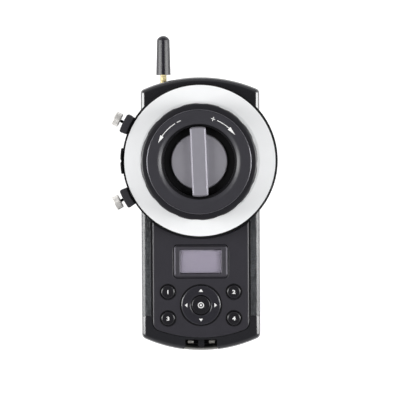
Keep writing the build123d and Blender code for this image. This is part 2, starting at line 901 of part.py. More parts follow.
# Back half: floor, lip, battery bay, hinge seat, bosses and posts
hinge_half = hinge_width / 2 + door_gap
pin_half = hinge_half + hinge_pin_seat
main_posts = [(x, y) for x in (-main_post_x, main_post_x) for y in (-main_post_y, main_post_y)]
opening_upper = bay_upper + door_ledge
door_end = opening_lower + door_gap
latch_bottom = latch_rib
latch_mid = door_thickness / 2
with BuildPart() as rear_housing:
    extrude(outline(0, body_corner, 0), amount=back_depth)
    fillet(rear_housing.faces().sort_by(Axis.Z)[0].edges(), radius=back_edge)
    extrude(outline(body_wall + seat_gap, inner_corner, back_depth), amount=lip_height)
    extrude(
        outline(body_wall + seat_gap + lip_wall, inner_corner, back_wall),
        amount=back_depth + lip_height - back_wall,
        mode=Mode.SUBTRACT,
    )
    with BuildSketch(Plane.XY.offset(back_wall)):
        Circle(insert_radius + insert_wall)
    extrude(amount=insert_length - back_wall)
    with BuildSketch(Plane.XY.offset(back_wall)):
        with Locations(*screw_places):
            Circle(boss_radius)
    extrude(amount=back_depth - back_wall)
    with BuildSketch(Plane.XY.offset(back_wall)):
        with Locations(*main_posts):
            Circle(main_post_radius)
    extrude(amount=main_height - back_wall)
    # bay for the battery and the thicker floor over the hinge
    with BuildSketch():
        with Locations((0, battery_y)):
            Rectangle(bay_width + 2 * bay_wall, bay_length + 2 * bay_wall)
    extrude(amount=bay_ceiling + bay_wall)
    with BuildSketch():
        with Locations((0, bay_upper + bay_wall / 2)):
            Rectangle(
                2 * (hinge_half + hinge_cheek),
                hinge_y + hinge_reach + hinge_cover - bay_upper - bay_wall / 2,
                align=(Align.CENTER, Align.MIN),
            )
    extrude(amount=hinge_z + hinge_reach + hinge_cover)
    with BuildSketch():
        with Locations((0, battery_y)):
            Rectangle(bay_width, bay_length)
    extrude(amount=bay_ceiling, mode=Mode.SUBTRACT)
    with BuildSketch():
        with Locations((0, opening_lower)):
            Rectangle(
                opening_width,
                opening_upper - opening_lower,
                align=(Align.CENTER, Align.MIN),
            )
        with Locations((0, opening_upper)):
            Rectangle(2 * hinge_half, hinge_y - opening_upper, align=(Align.CENTER, Align.MIN))
    extrude(amount=door_thickness, mode=Mode.SUBTRACT)
    with BuildSketch():
        with Locations((0, hinge_y)):
            Rectangle(2 * hinge_half, 2 * hinge_reach)
    extrude(amount=hinge_z + hinge_reach, mode=Mode.SUBTRACT)
    with BuildSketch(Plane.YZ.offset(-pin_half)):
        with Locations((hinge_y, hinge_z)):
            Circle(hinge_pin_radius)
    extrude(amount=2 * pin_half, mode=Mode.SUBTRACT)
    # slot for the tongue of the latch
    with BuildSketch(Plane.XY.offset(latch_mid - latch_sheet / 2 - seat_gap)):
        with Locations((0, opening_lower)):
            Rectangle(
                latch_tongue_width + 2 * door_gap,
                latch_tongue + door_gap,
                align=(Align.CENTER, Align.MAX),
            )
    extrude(amount=latch_sheet + 2 * seat_gap, mode=Mode.SUBTRACT)
    # holes for the tripod insert and the screws
    with BuildSketch():
        Circle(insert_radius)
    extrude(amount=back_depth, mode=Mode.SUBTRACT)
    with BuildSketch():
        with Locations(*screw_places):
            Circle(screw_head_radius + screw_head_gap)
    extrude(amount=screw_seat, mode=Mode.SUBTRACT)
    with BuildSketch():
        with Locations(*screw_places):
            Circle(screw_radius + seat_gap)
    extrude(amount=back_depth, mode=Mode.SUBTRACT)
save(rear_housing, "rear_housing")

with BuildPart() as housing_screws:
    with BuildSketch(Plane.XY.offset(screw_seat - screw_head_height)):
        with Locations(*screw_places):
            Circle(screw_head_radius)
    extrude(amount=screw_head_height)
    with BuildSketch(Plane.XY.offset(screw_seat)):
        with Locations(*screw_places):
            Circle(screw_radius)
    extrude(amount=screw_length)
save(housing_screws, "housing_screws")

# Threaded insert with its flange on the inside
with BuildPart() as tripod_insert:
    with BuildSketch():
        Circle(insert_radius)
    extrude(amount=insert_length)
    with BuildSketch(Plane.XY.offset(insert_length)):
        Circle(insert_flange)
    extrude(amount=insert_flange_thickness)
    with BuildSketch():
        Circle(thread_bore)
    extrude(amount=insert_length - insert_flange_thickness, mode=Mode.SUBTRACT)
save(tripod_insert, "tripod_insert")

# Battery, its contacts, its door with the hinge barrel, and the latch
with BuildPart() as battery_pack:
    with BuildSketch(Plane.XY.offset(battery_z)):
        with Locations((0, battery_y)):
            RectangleRounded(battery_width, battery_length, battery_corner)
    extrude(amount=battery_thickness)
    chamfer(battery_pack.faces().filter_by(Axis.Z).edges(), length=battery_bevel)
save(battery_pack, "battery_pack")

with BuildPart() as battery_contacts:
    with BuildSketch(Plane.XZ.offset(-bay_upper)):
        with Locations((0, battery_z + battery_thickness / 2)):
            with GridLocations(contact_pitch, 0, contact_count, 1):
                Rectangle(contact_width, contact_height)
    extrude(amount=contact_thickness)
save(battery_contacts, "battery_contacts")

with BuildPart() as battery_door:
    with BuildSketch() as door_plan:
        with Locations((0, door_end)):
            Rectangle(door_width, opening_upper - swing_gap - door_end, align=(Align.CENTER, Align.MIN))
        fillet(door_plan.vertices(), radius=door_corner)
        with Locations((0, opening_upper - 2 * swing_gap)):
            Rectangle(
                hinge_width,
                hinge_y - opening_upper + 2 * swing_gap,
                align=(Align.CENTER, Align.MIN),
            )
        with Locations((0, door_end - door_gap)):
            Rectangle(
                latch_width + 2 * door_gap,
                latch_notch + door_gap,
                align=(Align.CENTER, Align.MIN),
                mode=Mode.SUBTRACT,
            )
    extrude(amount=door_thickness)
    with BuildSketch(Plane.YZ.offset(-hinge_width / 2)):
        with Locations((hinge_y, hinge_z)):
            Circle(hinge_radius)
    extrude(amount=hinge_width)
    with BuildSketch(Plane.YZ.offset(-hinge_width / 2)):
        with Locations((hinge_y, hinge_z)):
            Circle(hinge_pin_radius + run_gap)
    extrude(amount=hinge_width, mode=Mode.SUBTRACT)
    with BuildSketch(Plane.XY.offset(latch_mid - latch_sheet / 2 - seat_gap)):
        with Locations((0, door_end - door_gap)):
            Rectangle(
                latch_width + 2 * (door_gap + latch_rail + seat_gap),
                latch_notch + door_gap,
                align=(Align.CENTER, Align.MIN),
            )
    extrude(amount=latch_sheet + 2 * seat_gap, mode=Mode.SUBTRACT)
save(battery_door, "battery_door")

with BuildPart() as door_hinge_pin:
    with BuildSketch(Plane.YZ.offset(-pin_half)):
        with Locations((hinge_y, hinge_z)):
            Circle(hinge_pin_radius)
    extrude(amount=2 * pin_half)
save(door_hinge_pin, "door_hinge_pin")

with BuildPart() as door_latch:
    with BuildSketch(Plane.XY.offset(latch_bottom)):
        with Locations((0, door_end)):
            Rectangle(latch_width, latch_length, align=(Align.CENTER, Align.MIN))
    extrude(amount=door_thickness - seat_gap - latch_bottom)
    with BuildSketch(Plane.XY.offset(latch_mid - latch_sheet / 2)):
        with Locations((0, door_end)):
            Rectangle(
                latch_width + 2 * (door_gap + latch_rail),
                latch_length,
                align=(Align.CENTER, Align.MIN),
            )
        with Locations((0, door_end + latch_rail)):
            Rectangle(
                latch_tongue_width,
                latch_tongue + door_gap + latch_rail,
                align=(Align.CENTER, Align.MAX),
            )
    extrude(amount=latch_sheet)
    rib_count = round(latch_length / (2 * latch_rib)) - 1
    with BuildSketch(Plane.XY.offset(latch_bottom - latch_rib_height)):
        with Locations((0, door_end + latch_length / 2)):
            with GridLocations(0, 2 * latch_rib, 1, rib_count):
                Rectangle(latch_tongue_width, latch_rib)
    extrude(amount=latch_rib_height)
save(door_latch, "door_latch")

# Main board with its radio and the sensor under the shaft
board_top = main_height + main_thickness
with BuildPart() as main_board:
    with BuildSketch(Plane.XY.offset(main_height)):
        with Locations((0, -main_bottom)):
            Rectangle(main_width, main_top + main_bottom, align=(Align.CENTER, Align.MIN))
    extrude(amount=main_thickness)
save(main_board, "main_board")

with BuildPart() as radio_module:
    with BuildSketch(Plane.XY.offset(board_top)):
        with Locations((radio_x, radio_y)):
            Rectangle(radio_width, radio_length)
    extrude(amount=radio_thickness)
save(radio_module, "radio_module")

with BuildPart() as angle_sensor:
    with BuildSketch(Plane.XY.offset(board_top)):
        Rectangle(sensor_size, sensor_size)
    extrude(amount=sensor_height)
save(angle_sensor, "angle_sensor")

# Power button in the upper end, and the switch behind it
power_inside = body_top - body_wall - seat_gap
power_back = power_inside - power_rim_thickness
stem_end = power_back - power_stem
switch_face = stem_end - power_travel - run_gap
with BuildPart() as power_button:
    with BuildSketch(Plane.XZ.offset(-power_back)):
        with Locations((0, power_height)):
            Circle(power_radius + power_rim)
    extrude(amount=-power_rim_thickness)
    with BuildSketch(Plane.XZ.offset(-power_inside)):
        with Locations((0, power_height)):
            Circle(power_radius)
    extrude(amount=-(body_top - power_sink - power_inside))
    fillet(power_button.faces().sort_by(Axis.Y)[-1].edges(), radius=power_round)
    with BuildSketch(Plane.XZ.offset(-stem_end)):
        with Locations((0, power_height)):
            Circle(power_radius / 2)
    extrude(amount=-power_stem)
save(power_button, "power_button")

with BuildPart() as power_switch:
    with BuildSketch(Plane.XY.offset(board_top)):
        with Locations((0, switch_face)):
            Rectangle(power_switch_width, power_switch_length, align=(Align.CENTER, Align.MAX))
    extrude(amount=power_height + power_radius - board_top)
save(power_switch, "power_switch")

# Antenna: brass neck fixed in the upper end, and the rubber stub that screws onto it
with BuildPart() as antenna_connector:
    with BuildSketch(Plane.XZ.offset(neck_flange_thickness - antenna_boss_y)):
        with Locations((antenna_x, antenna_height)):
            Circle(neck_flange)
    extrude(amount=-neck_flange_thickness)
    with BuildSketch(Plane.XZ.offset(-antenna_boss_y)):
        with Locations((antenna_x, antenna_height)):
            Circle(neck_radius)
    extrude(amount=-(antenna_base + antenna_socket - seat_gap - antenna_boss_y))
save(antenna_connector, "antenna_connector")

with BuildPart() as antenna_sleeve:
    socket_radius = neck_radius + run_gap
    dome_radius = (antenna_tip_radius**2 + antenna_dome**2) / (2 * antenna_dome)
    half_turn = asin(antenna_tip_radius / dome_radius) / 2
    dome_middle = (
        dome_radius * sin(half_turn),
        antenna_tip - dome_radius + dome_radius * cos(half_turn),
    )
    with BuildSketch(Plane((antenna_x, 0, antenna_height))):
        with BuildLine():
            Polyline(
                (0, antenna_tip),
                (0, antenna_base + antenna_socket),
                (socket_radius, antenna_base + antenna_socket),
                (socket_radius, antenna_base),
                (antenna_base_radius, antenna_base),
                (antenna_tip_radius, antenna_tip - antenna_dome),
            )
            ThreePointArc(
                (antenna_tip_radius, antenna_tip - antenna_dome),
                dome_middle,
                (0, antenna_tip),
            )
        make_face()
    revolve(axis=Axis((antenna_x, 0, antenna_height), (0, 1, 0)))
save(antenna_sleeve, "antenna_sleeve")

# Bearing carrier in the front wall, with its two bearings
with BuildPart() as bearing_carrier:
    lower_bearing_top = lower_bearing_z + bearing_height
    shoulder_radius = bearing_radius - bearing_shoulder
    with BuildSketch(Plane.XZ):
        with BuildLine():
            Polyline(
                (bearing_radius, lower_bearing_z),
                (carrier_radius, lower_bearing_z),
                (carrier_radius, track_base),
                (carrier_flange, track_base),
                (carrier_flange, carrier_top),
                (bearing_radius, carrier_top),
                (bearing_radius, upper_bearing_z),
                (shoulder_radius, upper_bearing_z),
                (shoulder_radius, lower_bearing_top),
                (bearing_radius, lower_bearing_top),
                close=True,
            )
        make_face()
    revolve(axis=Axis.Z)
save(bearing_carrier, "bearing_carrier")

for name, bearing_z in (("lower_bearing", lower_bearing_z), ("upper_bearing", upper_bearing_z)):
    with BuildPart() as bearing:
        bore = shaft_radius + run_gap
        race = race_share * (bearing_radius - bore)
        with BuildSketch(Plane.XZ):
            with Locations((bore, bearing_z)):
                Rectangle(bearing_radius - bore, bearing_height, align=(Align.MIN, Align.MIN))
            for face_z in (bearing_z, bearing_z + bearing_height):
                with Locations((bore + 2 * race, face_z)):
                    Rectangle(2 * race, 2 * bearing_groove, mode=Mode.SUBTRACT)
        revolve(axis=Axis.Z)
    save(bearing, name)

# Shaft, its retaining ring and the magnet read by the sensor
ring_z = lower_bearing_z - seat_gap - ring_groove
groove_radius = shaft_radius - ring_bite
with BuildPart() as wheel_shaft:
    with BuildSketch(Plane.XZ):
        with BuildLine():
            Polyline(
                (0, shaft_bottom),
                (shaft_radius - shaft_bevel, shaft_bottom),
                (shaft_radius, shaft_bottom + shaft_bevel),
                (shaft_radius, ring_z),
                (groove_radius, ring_z),
                (groove_radius, ring_z + ring_groove),
                (shaft_radius, ring_z + ring_groove),
                (shaft_radius, shaft_top),
                (lock_screw_radius + run_gap, shaft_top),
                (lock_screw_radius + run_gap, shaft_top - lock_screw_depth),
                (0, shaft_top - lock_screw_depth),
                close=True,
            )
        make_face()
    revolve(axis=Axis.Z)
save(wheel_shaft, "wheel_shaft")

with BuildPart() as retaining_ring:
    with BuildSketch(Plane.XY.offset(ring_z)):
        Circle(shaft_radius + ring_grip)
        Circle(groove_radius, mode=Mode.SUBTRACT)
        Rectangle(
            ring_opening,
            shaft_radius + ring_grip + overrun,
            align=(Align.CENTER, Align.MIN),
            mode=Mode.SUBTRACT,
        )
    extrude(amount=ring_groove)
save(retaining_ring, "retaining_ring")

with BuildPart() as angle_magnet:
    with BuildSketch(Plane.XY.offset(shaft_bottom - magnet_thickness)):
        Circle(magnet_radius)
    extrude(amount=magnet_thickness)
save(angle_magnet, "angle_magnet")

# Friction ring on the carrier and washer under the hub: the drag of the wheel
with BuildPart() as friction_ring:
    with BuildSketch(Plane.XY.offset(carrier_top)):
        Circle(carrier_flange - seat_gap)
        Circle(friction_inner, mode=Mode.SUBTRACT)
    extrude(amount=friction_thickness)
save(friction_ring, "friction_ring")

with BuildPart() as thrust_washer:
    with BuildSketch(Plane.XY.offset(friction_top + move_gap)):
        Circle(washer_outer)
        Circle(washer_inner, mode=Mode.SUBTRACT)
    extrude(amount=washer_thickness)
save(thrust_washer, "thrust_washer")

# Track ring: a shallow pan with a lip that the stops grip, screwed to the front wall
with BuildPart() as track_ring:
    pan_inner = carrier_flange + groove
    with BuildSketch(Plane.XZ):
        with BuildLine():
            Polyline(
                (pan_inner, track_base),
                (track_neck, track_base),
                (track_neck, lip_bottom),
                (track_radius, lip_bottom),
                (track_radius, track_top),
                (track_inner, track_top),
                (track_inner, track_base + track_floor),
                (pan_inner, track_base + track_floor),
                close=True,
            )
        make_face()
    revolve(axis=Axis.Z)
    with BuildSketch(Plane.XY.offset(track_base)):
        with PolarLocations(track_screw_circle, track_screw_count, start_angle=track_screw_start):
            Circle(screw_radius)
    extrude(amount=track_floor, mode=Mode.SUBTRACT)
    with BuildSketch(Plane.XY.offset(track_base + track_floor - track_screw_head)):
        with PolarLocations(track_screw_circle, track_screw_count, start_angle=track_screw_start):
            Circle(screw_head_radius)
    extrude(amount=track_screw_head, mode=Mode.SUBTRACT)
save(track_ring, "track_ring")

with BuildPart() as track_screws:
    head_seat = track_base + track_floor - track_screw_head
    with BuildSketch(Plane.XY.offset(head_seat)):
        with PolarLocations(track_screw_circle, track_screw_count, start_angle=track_screw_start):
            Circle(screw_head_radius)
    extrude(amount=track_screw_head)
    with BuildSketch(Plane.XY.offset(head_seat)):
        with PolarLocations(track_screw_circle, track_screw_count, start_angle=track_screw_start):
            Circle(screw_radius)
    extrude(amount=-min(track_screw_length, head_seat - front_inside))
save(track_screws, "track_screws")

# Index at the left of the wheel: two lobes with a waist between them
with BuildPart() as index_pointer:
    with BuildSketch(Plane.XY.offset(lip_bottom)) as index_plan:
        Circle(track_radius + index_reach)
        Circle(track_radius, mode=Mode.SUBTRACT)
        with Locations((-track_radius, 0)):
            Rectangle(track_radius, index_width, mode=Mode.INTERSECT)
        with Locations((-track_radius - index_reach - index_waist_radius + index_waist, 0)):
            Circle(index_waist_radius, mode=Mode.SUBTRACT)
        corners = index_plan.vertices().filter_by(
            lambda corner: abs(corner.Y) > index_width / 4
            and sqrt(corner.X**2 + corner.Y**2) > track_radius + index_reach / 2
        )
        fillet(corners, radius=index_round)
    extrude(amount=ring_base + ring_rim - index_top_drop - lip_bottom)
save(index_pointer, "index_pointer")

# Wheel hub: sleeve on the shaft, wide flange, spigot under the knob and the stop lug
pin_place = spigot_radius - (spigot_radius - face_radius + knob_skirt) / 2
with BuildPart() as wheel_hub:
    spigot_inner = spigot_radius - spigot_wall
    with BuildSketch(Plane.XZ):
        with BuildLine():
            Polyline(
                (shaft_radius, hub_bottom),
                (hub_radius, hub_bottom),
                (hub_radius, flange_bottom),
                (flange_radius, flange_bottom),
                (flange_radius, ring_base),
                (spigot_radius, ring_base),
                (spigot_radius, knob_base),
                (spigot_inner, knob_base),
                (spigot_inner, ring_base),
                (shaft_radius, ring_base),
                close=True,
            )
        make_face()
    revolve(axis=Axis.Z)
    with BuildSketch(Plane.XY.offset(finger_bottom)):
        with Locations((finger_radius + lug_inset, 0)):
            Rectangle(lug_depth, lug_width, align=(Align.MIN, Align.CENTER))
    extrude(amount=flange_bottom - finger_bottom)
    with BuildSketch(Plane.XY.offset(ring_base - ring_magnet_height)):
        with PolarLocations(ring_magnet_circle, ring_magnet_count):
            Circle(ring_magnet_radius)
    extrude(amount=ring_magnet_height, mode=Mode.SUBTRACT)
    with BuildSketch(Plane.XY.offset(knob_base - drive_pin_length / 2)):
        with PolarLocations(pin_place, drive_pin_count):
            Circle(drive_pin_radius)
    extrude(amount=drive_pin_length / 2, mode=Mode.SUBTRACT)
save(wheel_hub, "wheel_hub")

with BuildPart() as ring_magnets:
    with BuildSketch(Plane.XY.offset(ring_base - ring_magnet_height)):
        with PolarLocations(ring_magnet_circle, ring_magnet_count):
            Circle(ring_magnet_radius)
    extrude(amount=ring_magnet_height)
save(ring_magnets, "ring_magnets")

with BuildPart() as drive_pins:
    with BuildSketch(Plane.XY.offset(knob_base - drive_pin_length / 2)):
        with PolarLocations(pin_place, drive_pin_count):
            Circle(drive_pin_radius)
    extrude(amount=drive_pin_length)
save(drive_pins, "drive_pins")

# White marking ring, sloping down to a thin rim
with BuildPart() as marking_ring:
    with BuildSketch(Plane.XZ):
        with BuildLine():
            Polyline(
                (ring_inner, ring_base),
                (ring_radius, ring_base),
                (ring_radius, ring_base + ring_rim),
                (ring_flat_radius, ring_top),
                (ring_inner, ring_top),
                close=True,
            )
        make_face()
    revolve(axis=Axis.Z)
save(marking_ring, "marking_ring")

# Hand knob: a turned cup with a bowl in its face, and a scalloped grip round it
with BuildPart() as hand_knob:
    skirt_inner = face_radius - knob_skirt
    hole_radius = lock_collar + move_gap
    with BuildSketch(Plane.XZ):
        with BuildLine():
            Polyline(
                (bowl_radius, knob_top),
                (bowl_radius, bowl_z),
                (hole_radius, bowl_z),
                (hole_radius, bowl_z - bowl_floor),
                (skirt_inner, bowl_z - bowl_floor),
                (skirt_inner, knob_base),
                (face_radius, knob_base),
                (face_radius, knob_top - face_bevel),
                (face_radius - face_bevel, knob_top),
                close=True,
            )
        make_face()
    revolve(axis=Axis.Z)
    fillet(hand_knob.faces().sort_by(Axis.Z)[-1].inner_wires().edges(), radius=bowl_round)
    with BuildSketch(Plane.XY.offset(knob_base)):
        with PolarLocations(pin_place, drive_pin_count):
            Circle(drive_pin_radius)
    extrude(amount=drive_pin_length / 2, mode=Mode.SUBTRACT)
save(hand_knob, "hand_knob")

with BuildPart() as knob_grip:
    grip_low = knob_base + seat_gap
    grip_high = knob_top - knob_step
    with BuildSketch(Plane.XY.offset(grip_low)):
        Circle(knob_radius)
    extrude(amount=grip_high - grip_low)
    fillet(knob_grip.faces().sort_by(Axis.Z)[-1].edges(), radius=knob_round)
    with BuildSketch(Plane.XY.offset(grip_low)):
        with PolarLocations(
            knob_radius - scallop_depth + scallop_radius,
            scallop_count,
            start_angle=scallop_start,
        ):
            Circle(scallop_radius)
        Circle(face_radius)
    extrude(amount=grip_high - grip_low, mode=Mode.SUBTRACT)
save(knob_grip, "knob_grip")

# Clamp knob: disc, finger bar and screw
with BuildPart() as lock_disc:
    with BuildSketch(Plane.XY.offset(disc_z)):
        Circle(disc_radius)
    extrude(amount=disc_thickness)
    chamfer(lock_disc.faces().sort_by(Axis.Z)[-1].edges(), length=disc_bevel)
save(lock_disc, "lock_disc")

with BuildPart() as lock_bar:
    with BuildSketch(Plane.XY.offset(bar_z)) as bar_plan:
        with Locations(Location((0, 0, 0), (0, 0, bar_turn))):
            Rectangle(bar_width, bar_length)
        Circle(bar_end_radius, mode=Mode.INTERSECT)
        fillet(bar_plan.vertices(), radius=bar_corner)
    extrude(amount=bar_height)
    chamfer(lock_bar.faces().sort_by(Axis.Z)[-1].edges(), length=bar_bevel)
save(lock_bar, "lock_bar")

with BuildPart() as lock_screw:
    screw_low = shaft_top - lock_screw_depth + move_gap
    collar_low = shaft_top + move_gap
    with BuildSketch(Plane.XY.offset(screw_low)):
        Circle(lock_screw_radius)
    extrude(amount=collar_low - screw_low)
    with BuildSketch(Plane.XY.offset(collar_low)):
        Circle(lock_collar)
    extrude(amount=disc_z - collar_low)
save(lock_screw, "lock_screw")

# Limit blocks that slide round the lip of the track ring, each with a radial thumb screw
block_half = degrees(asin(block_width / 2 / block_outer))
block_top = ring_base + ring_rim + block_above
for name, centre in (("upper", 180 - block_angle), ("lower", 180 + block_angle)):
    with BuildPart() as block:
        foot_inner = track_neck + foot_gap
        foot_top = lip_bottom - move_gap
        foot_bottom = foot_top - block_foot
        with BuildSketch(radial_plane(centre - block_half)):
            with BuildLine():
                Polyline(
                    (finger_radius, finger_bottom),
                    (block_inner, finger_bottom),
                    (block_inner, foot_top),
                    (foot_inner, foot_top),
                    (foot_inner, foot_bottom),
                    (block_outer, foot_bottom),
                    (block_outer, block_top),
                    (block_inner, block_top),
                    (block_inner, finger_top),
                    (finger_radius, finger_top),
                    close=True,
                )
            make_face()
        revolve(axis=Axis.Z, revolution_arc=2 * block_half)
        rounded = block.edges().filter_by(Axis.Z).filter_by(
            lambda edge: sqrt(edge.center().X ** 2 + edge.center().Y ** 2) > block_outer - run_gap
        )
        fillet(rounded, radius=block_round)
        turn = radians(centre)
        out = (cos(turn), sin(turn), 0)
        with BuildSketch(Plane(origin=(0, 0, thumb_z), z_dir=out).offset(block_inner - overrun)):
            Circle(thumb_shank + run_gap)
        extrude(amount=block_outer - block_inner + 2 * overrun, mode=Mode.SUBTRACT)
    save(block, f"limit_block_{name}")
    with BuildPart() as thumb_screw:
        with BuildSketch(Plane(origin=(0, 0, thumb_z), z_dir=out).offset(track_radius + run_gap)):
            Circle(thumb_shank)
        extrude(amount=block_outer + thumb_neck - track_radius - run_gap)
        with BuildSketch(Plane(origin=(0, 0, thumb_z), z_dir=out).offset(block_outer + thumb_neck)):
            Circle(thumb_head)
        extrude(amount=thumb_head_length)
        chamfer(
            thumb_screw.edges().filter_by(GeomType.CIRCLE).filter_by(
                lambda edge: edge.radius > thumb_shank + run_gap
            ),
            length=thumb_bevel,
        )
    save(thumb_screw, f"thumb_screw_{name}")
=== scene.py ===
"""Studio scene for the remote focus controller.

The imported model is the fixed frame. The script dresses its pieces, models the small turned,
knurled and printed details on them, and sets the floor, the light and the camera.
"""

import logging
import math
from abc import ABC, abstractmethod
from collections.abc import Sequence
from dataclasses import dataclass, replace
from enum import Enum

import bmesh
import bpy
from bmesh.types import BMesh, BMVert
from bpy.types import Material, Node, NodeSocket, NodeTree, World
from mathutils import Color, Matrix, Vector
from mathutils.bvhtree import BVHTree


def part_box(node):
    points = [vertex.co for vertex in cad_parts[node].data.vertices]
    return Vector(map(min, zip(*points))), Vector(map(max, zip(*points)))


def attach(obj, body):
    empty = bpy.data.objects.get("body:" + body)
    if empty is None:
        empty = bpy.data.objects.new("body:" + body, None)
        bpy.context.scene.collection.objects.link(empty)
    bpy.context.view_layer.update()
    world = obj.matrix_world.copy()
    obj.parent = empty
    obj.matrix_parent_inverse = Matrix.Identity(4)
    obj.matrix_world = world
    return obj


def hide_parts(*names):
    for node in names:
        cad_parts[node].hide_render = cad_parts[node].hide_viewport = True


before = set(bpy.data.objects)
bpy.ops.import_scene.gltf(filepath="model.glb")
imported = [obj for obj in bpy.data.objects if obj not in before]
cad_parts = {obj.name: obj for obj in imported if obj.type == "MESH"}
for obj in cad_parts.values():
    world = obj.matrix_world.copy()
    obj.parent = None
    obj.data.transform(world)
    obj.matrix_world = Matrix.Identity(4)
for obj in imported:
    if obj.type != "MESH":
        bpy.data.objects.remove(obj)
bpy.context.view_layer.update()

log = logging.getLogger("focus_controller")

MM = 0.001
WELD = 0.0005
ORIGIN = (0.0, 0.0, 0.0)
UPWARDS = (0.0, 0.0, 1.0)
HALF_UNIT = 0.5
BYTE = 255
BUTTONS = 4
CASE, WHEEL, PAD, KEY_CENTRE = "body", "wheel", "pad", "key_centre"
FULL_TURN = math.radians(360)
QUARTER_TURN = math.radians(90)
SMOOTH_ANGLE = math.radians(32)

# Proportions of the patterns: a cloud's size in grains, then shares and levels of Blender's own
CLOUD_SIZE = 14.0
CLOUD_DETAIL = 3.0
CLOUD_RANGE = (0.3, 0.7)
HIDE_JITTER = 0.9
CREASE_WIDTH = 0.3
TRACK_JITTER = 0.6
GRAIN_DETAIL = 2.0
GRAIN_FALLOFF = 0.55
SCRATCH_STRETCH = 0.04
BEVEL_SAMPLES = 6
COAT_ROUGHNESS = 0.5

# Sockets of the mix node, whose colours share their names with its other inputs
MIX_SHARE, MIX_FIRST, MIX_SECOND, MIX_RESULT = 0, 6, 7, 2

# Width and depth of an even triangle whose corners are one unit from its middle
TRIANGLE = (math.sqrt(3), 1.5)

# Place and direction of the axis that the antenna's neck was turned about
NECK_CENTRE = (-21.8, 0.0, 22.0)
ALONG_Y = (QUARTER_TURN, 0.0, 0.0)


def linear(code: str) -> tuple[float, float, float, float]:
    """Turns an sRGB hex colour into linear values.

    Args:
        code: The colour, such as "#c8c5bf".

    Returns:
        Linear red, green, blue and an alpha of one.
    """
    channels = Color(byte / BYTE for byte in bytes.fromhex(code[1:]))
    return (*channels.from_srgb_to_scene_linear(), 1.0)


def add_node(
    tree: NodeTree, kind: str, inputs: dict[str | int, object] | None = None,
    **settings: str | int,
) -> Node:
    """Adds a node with its settings, values and links.

    Args:
        tree: The tree that gets the node.
        kind: Blender's name of the shader node, without the words every one starts with.
        inputs: By socket, a value or the output that feeds it.
        **settings: The node's own properties.

    Returns:
        The new node.
    """
    node = tree.nodes.new(f"ShaderNode{kind}")
    for name, value in settings.items():
        setattr(node, name, value)
    for socket, value in (inputs or {}).items():
        if isinstance(value, NodeSocket):
            tree.links.new(value, node.inputs[socket])
        else:
            node.inputs[socket].default_value = value
    return node


def empty_tree(owner: Material | World) -> NodeTree:
    """Clears the way for a material's or a world's own nodes.

    Args:
        owner: The material or the world.

    Returns:
        Its node tree, empty.
    """
    owner.use_nodes = True
    owner.node_tree.nodes.clear()
    return owner.node_tree


class Surface(Enum):
    """How a surface was made, which sets its pattern."""

    SPARK = "spark-eroded mould"
    HIDE = "embossed hide"
    BLASTED = "bead-blasted metal"
    TURNED = "lathe-turned"
    GROUND = "ground one way"
    FIBRE = "pressed fibre"
    BOARD = "printed circuit"
    POLISHED = "polished"


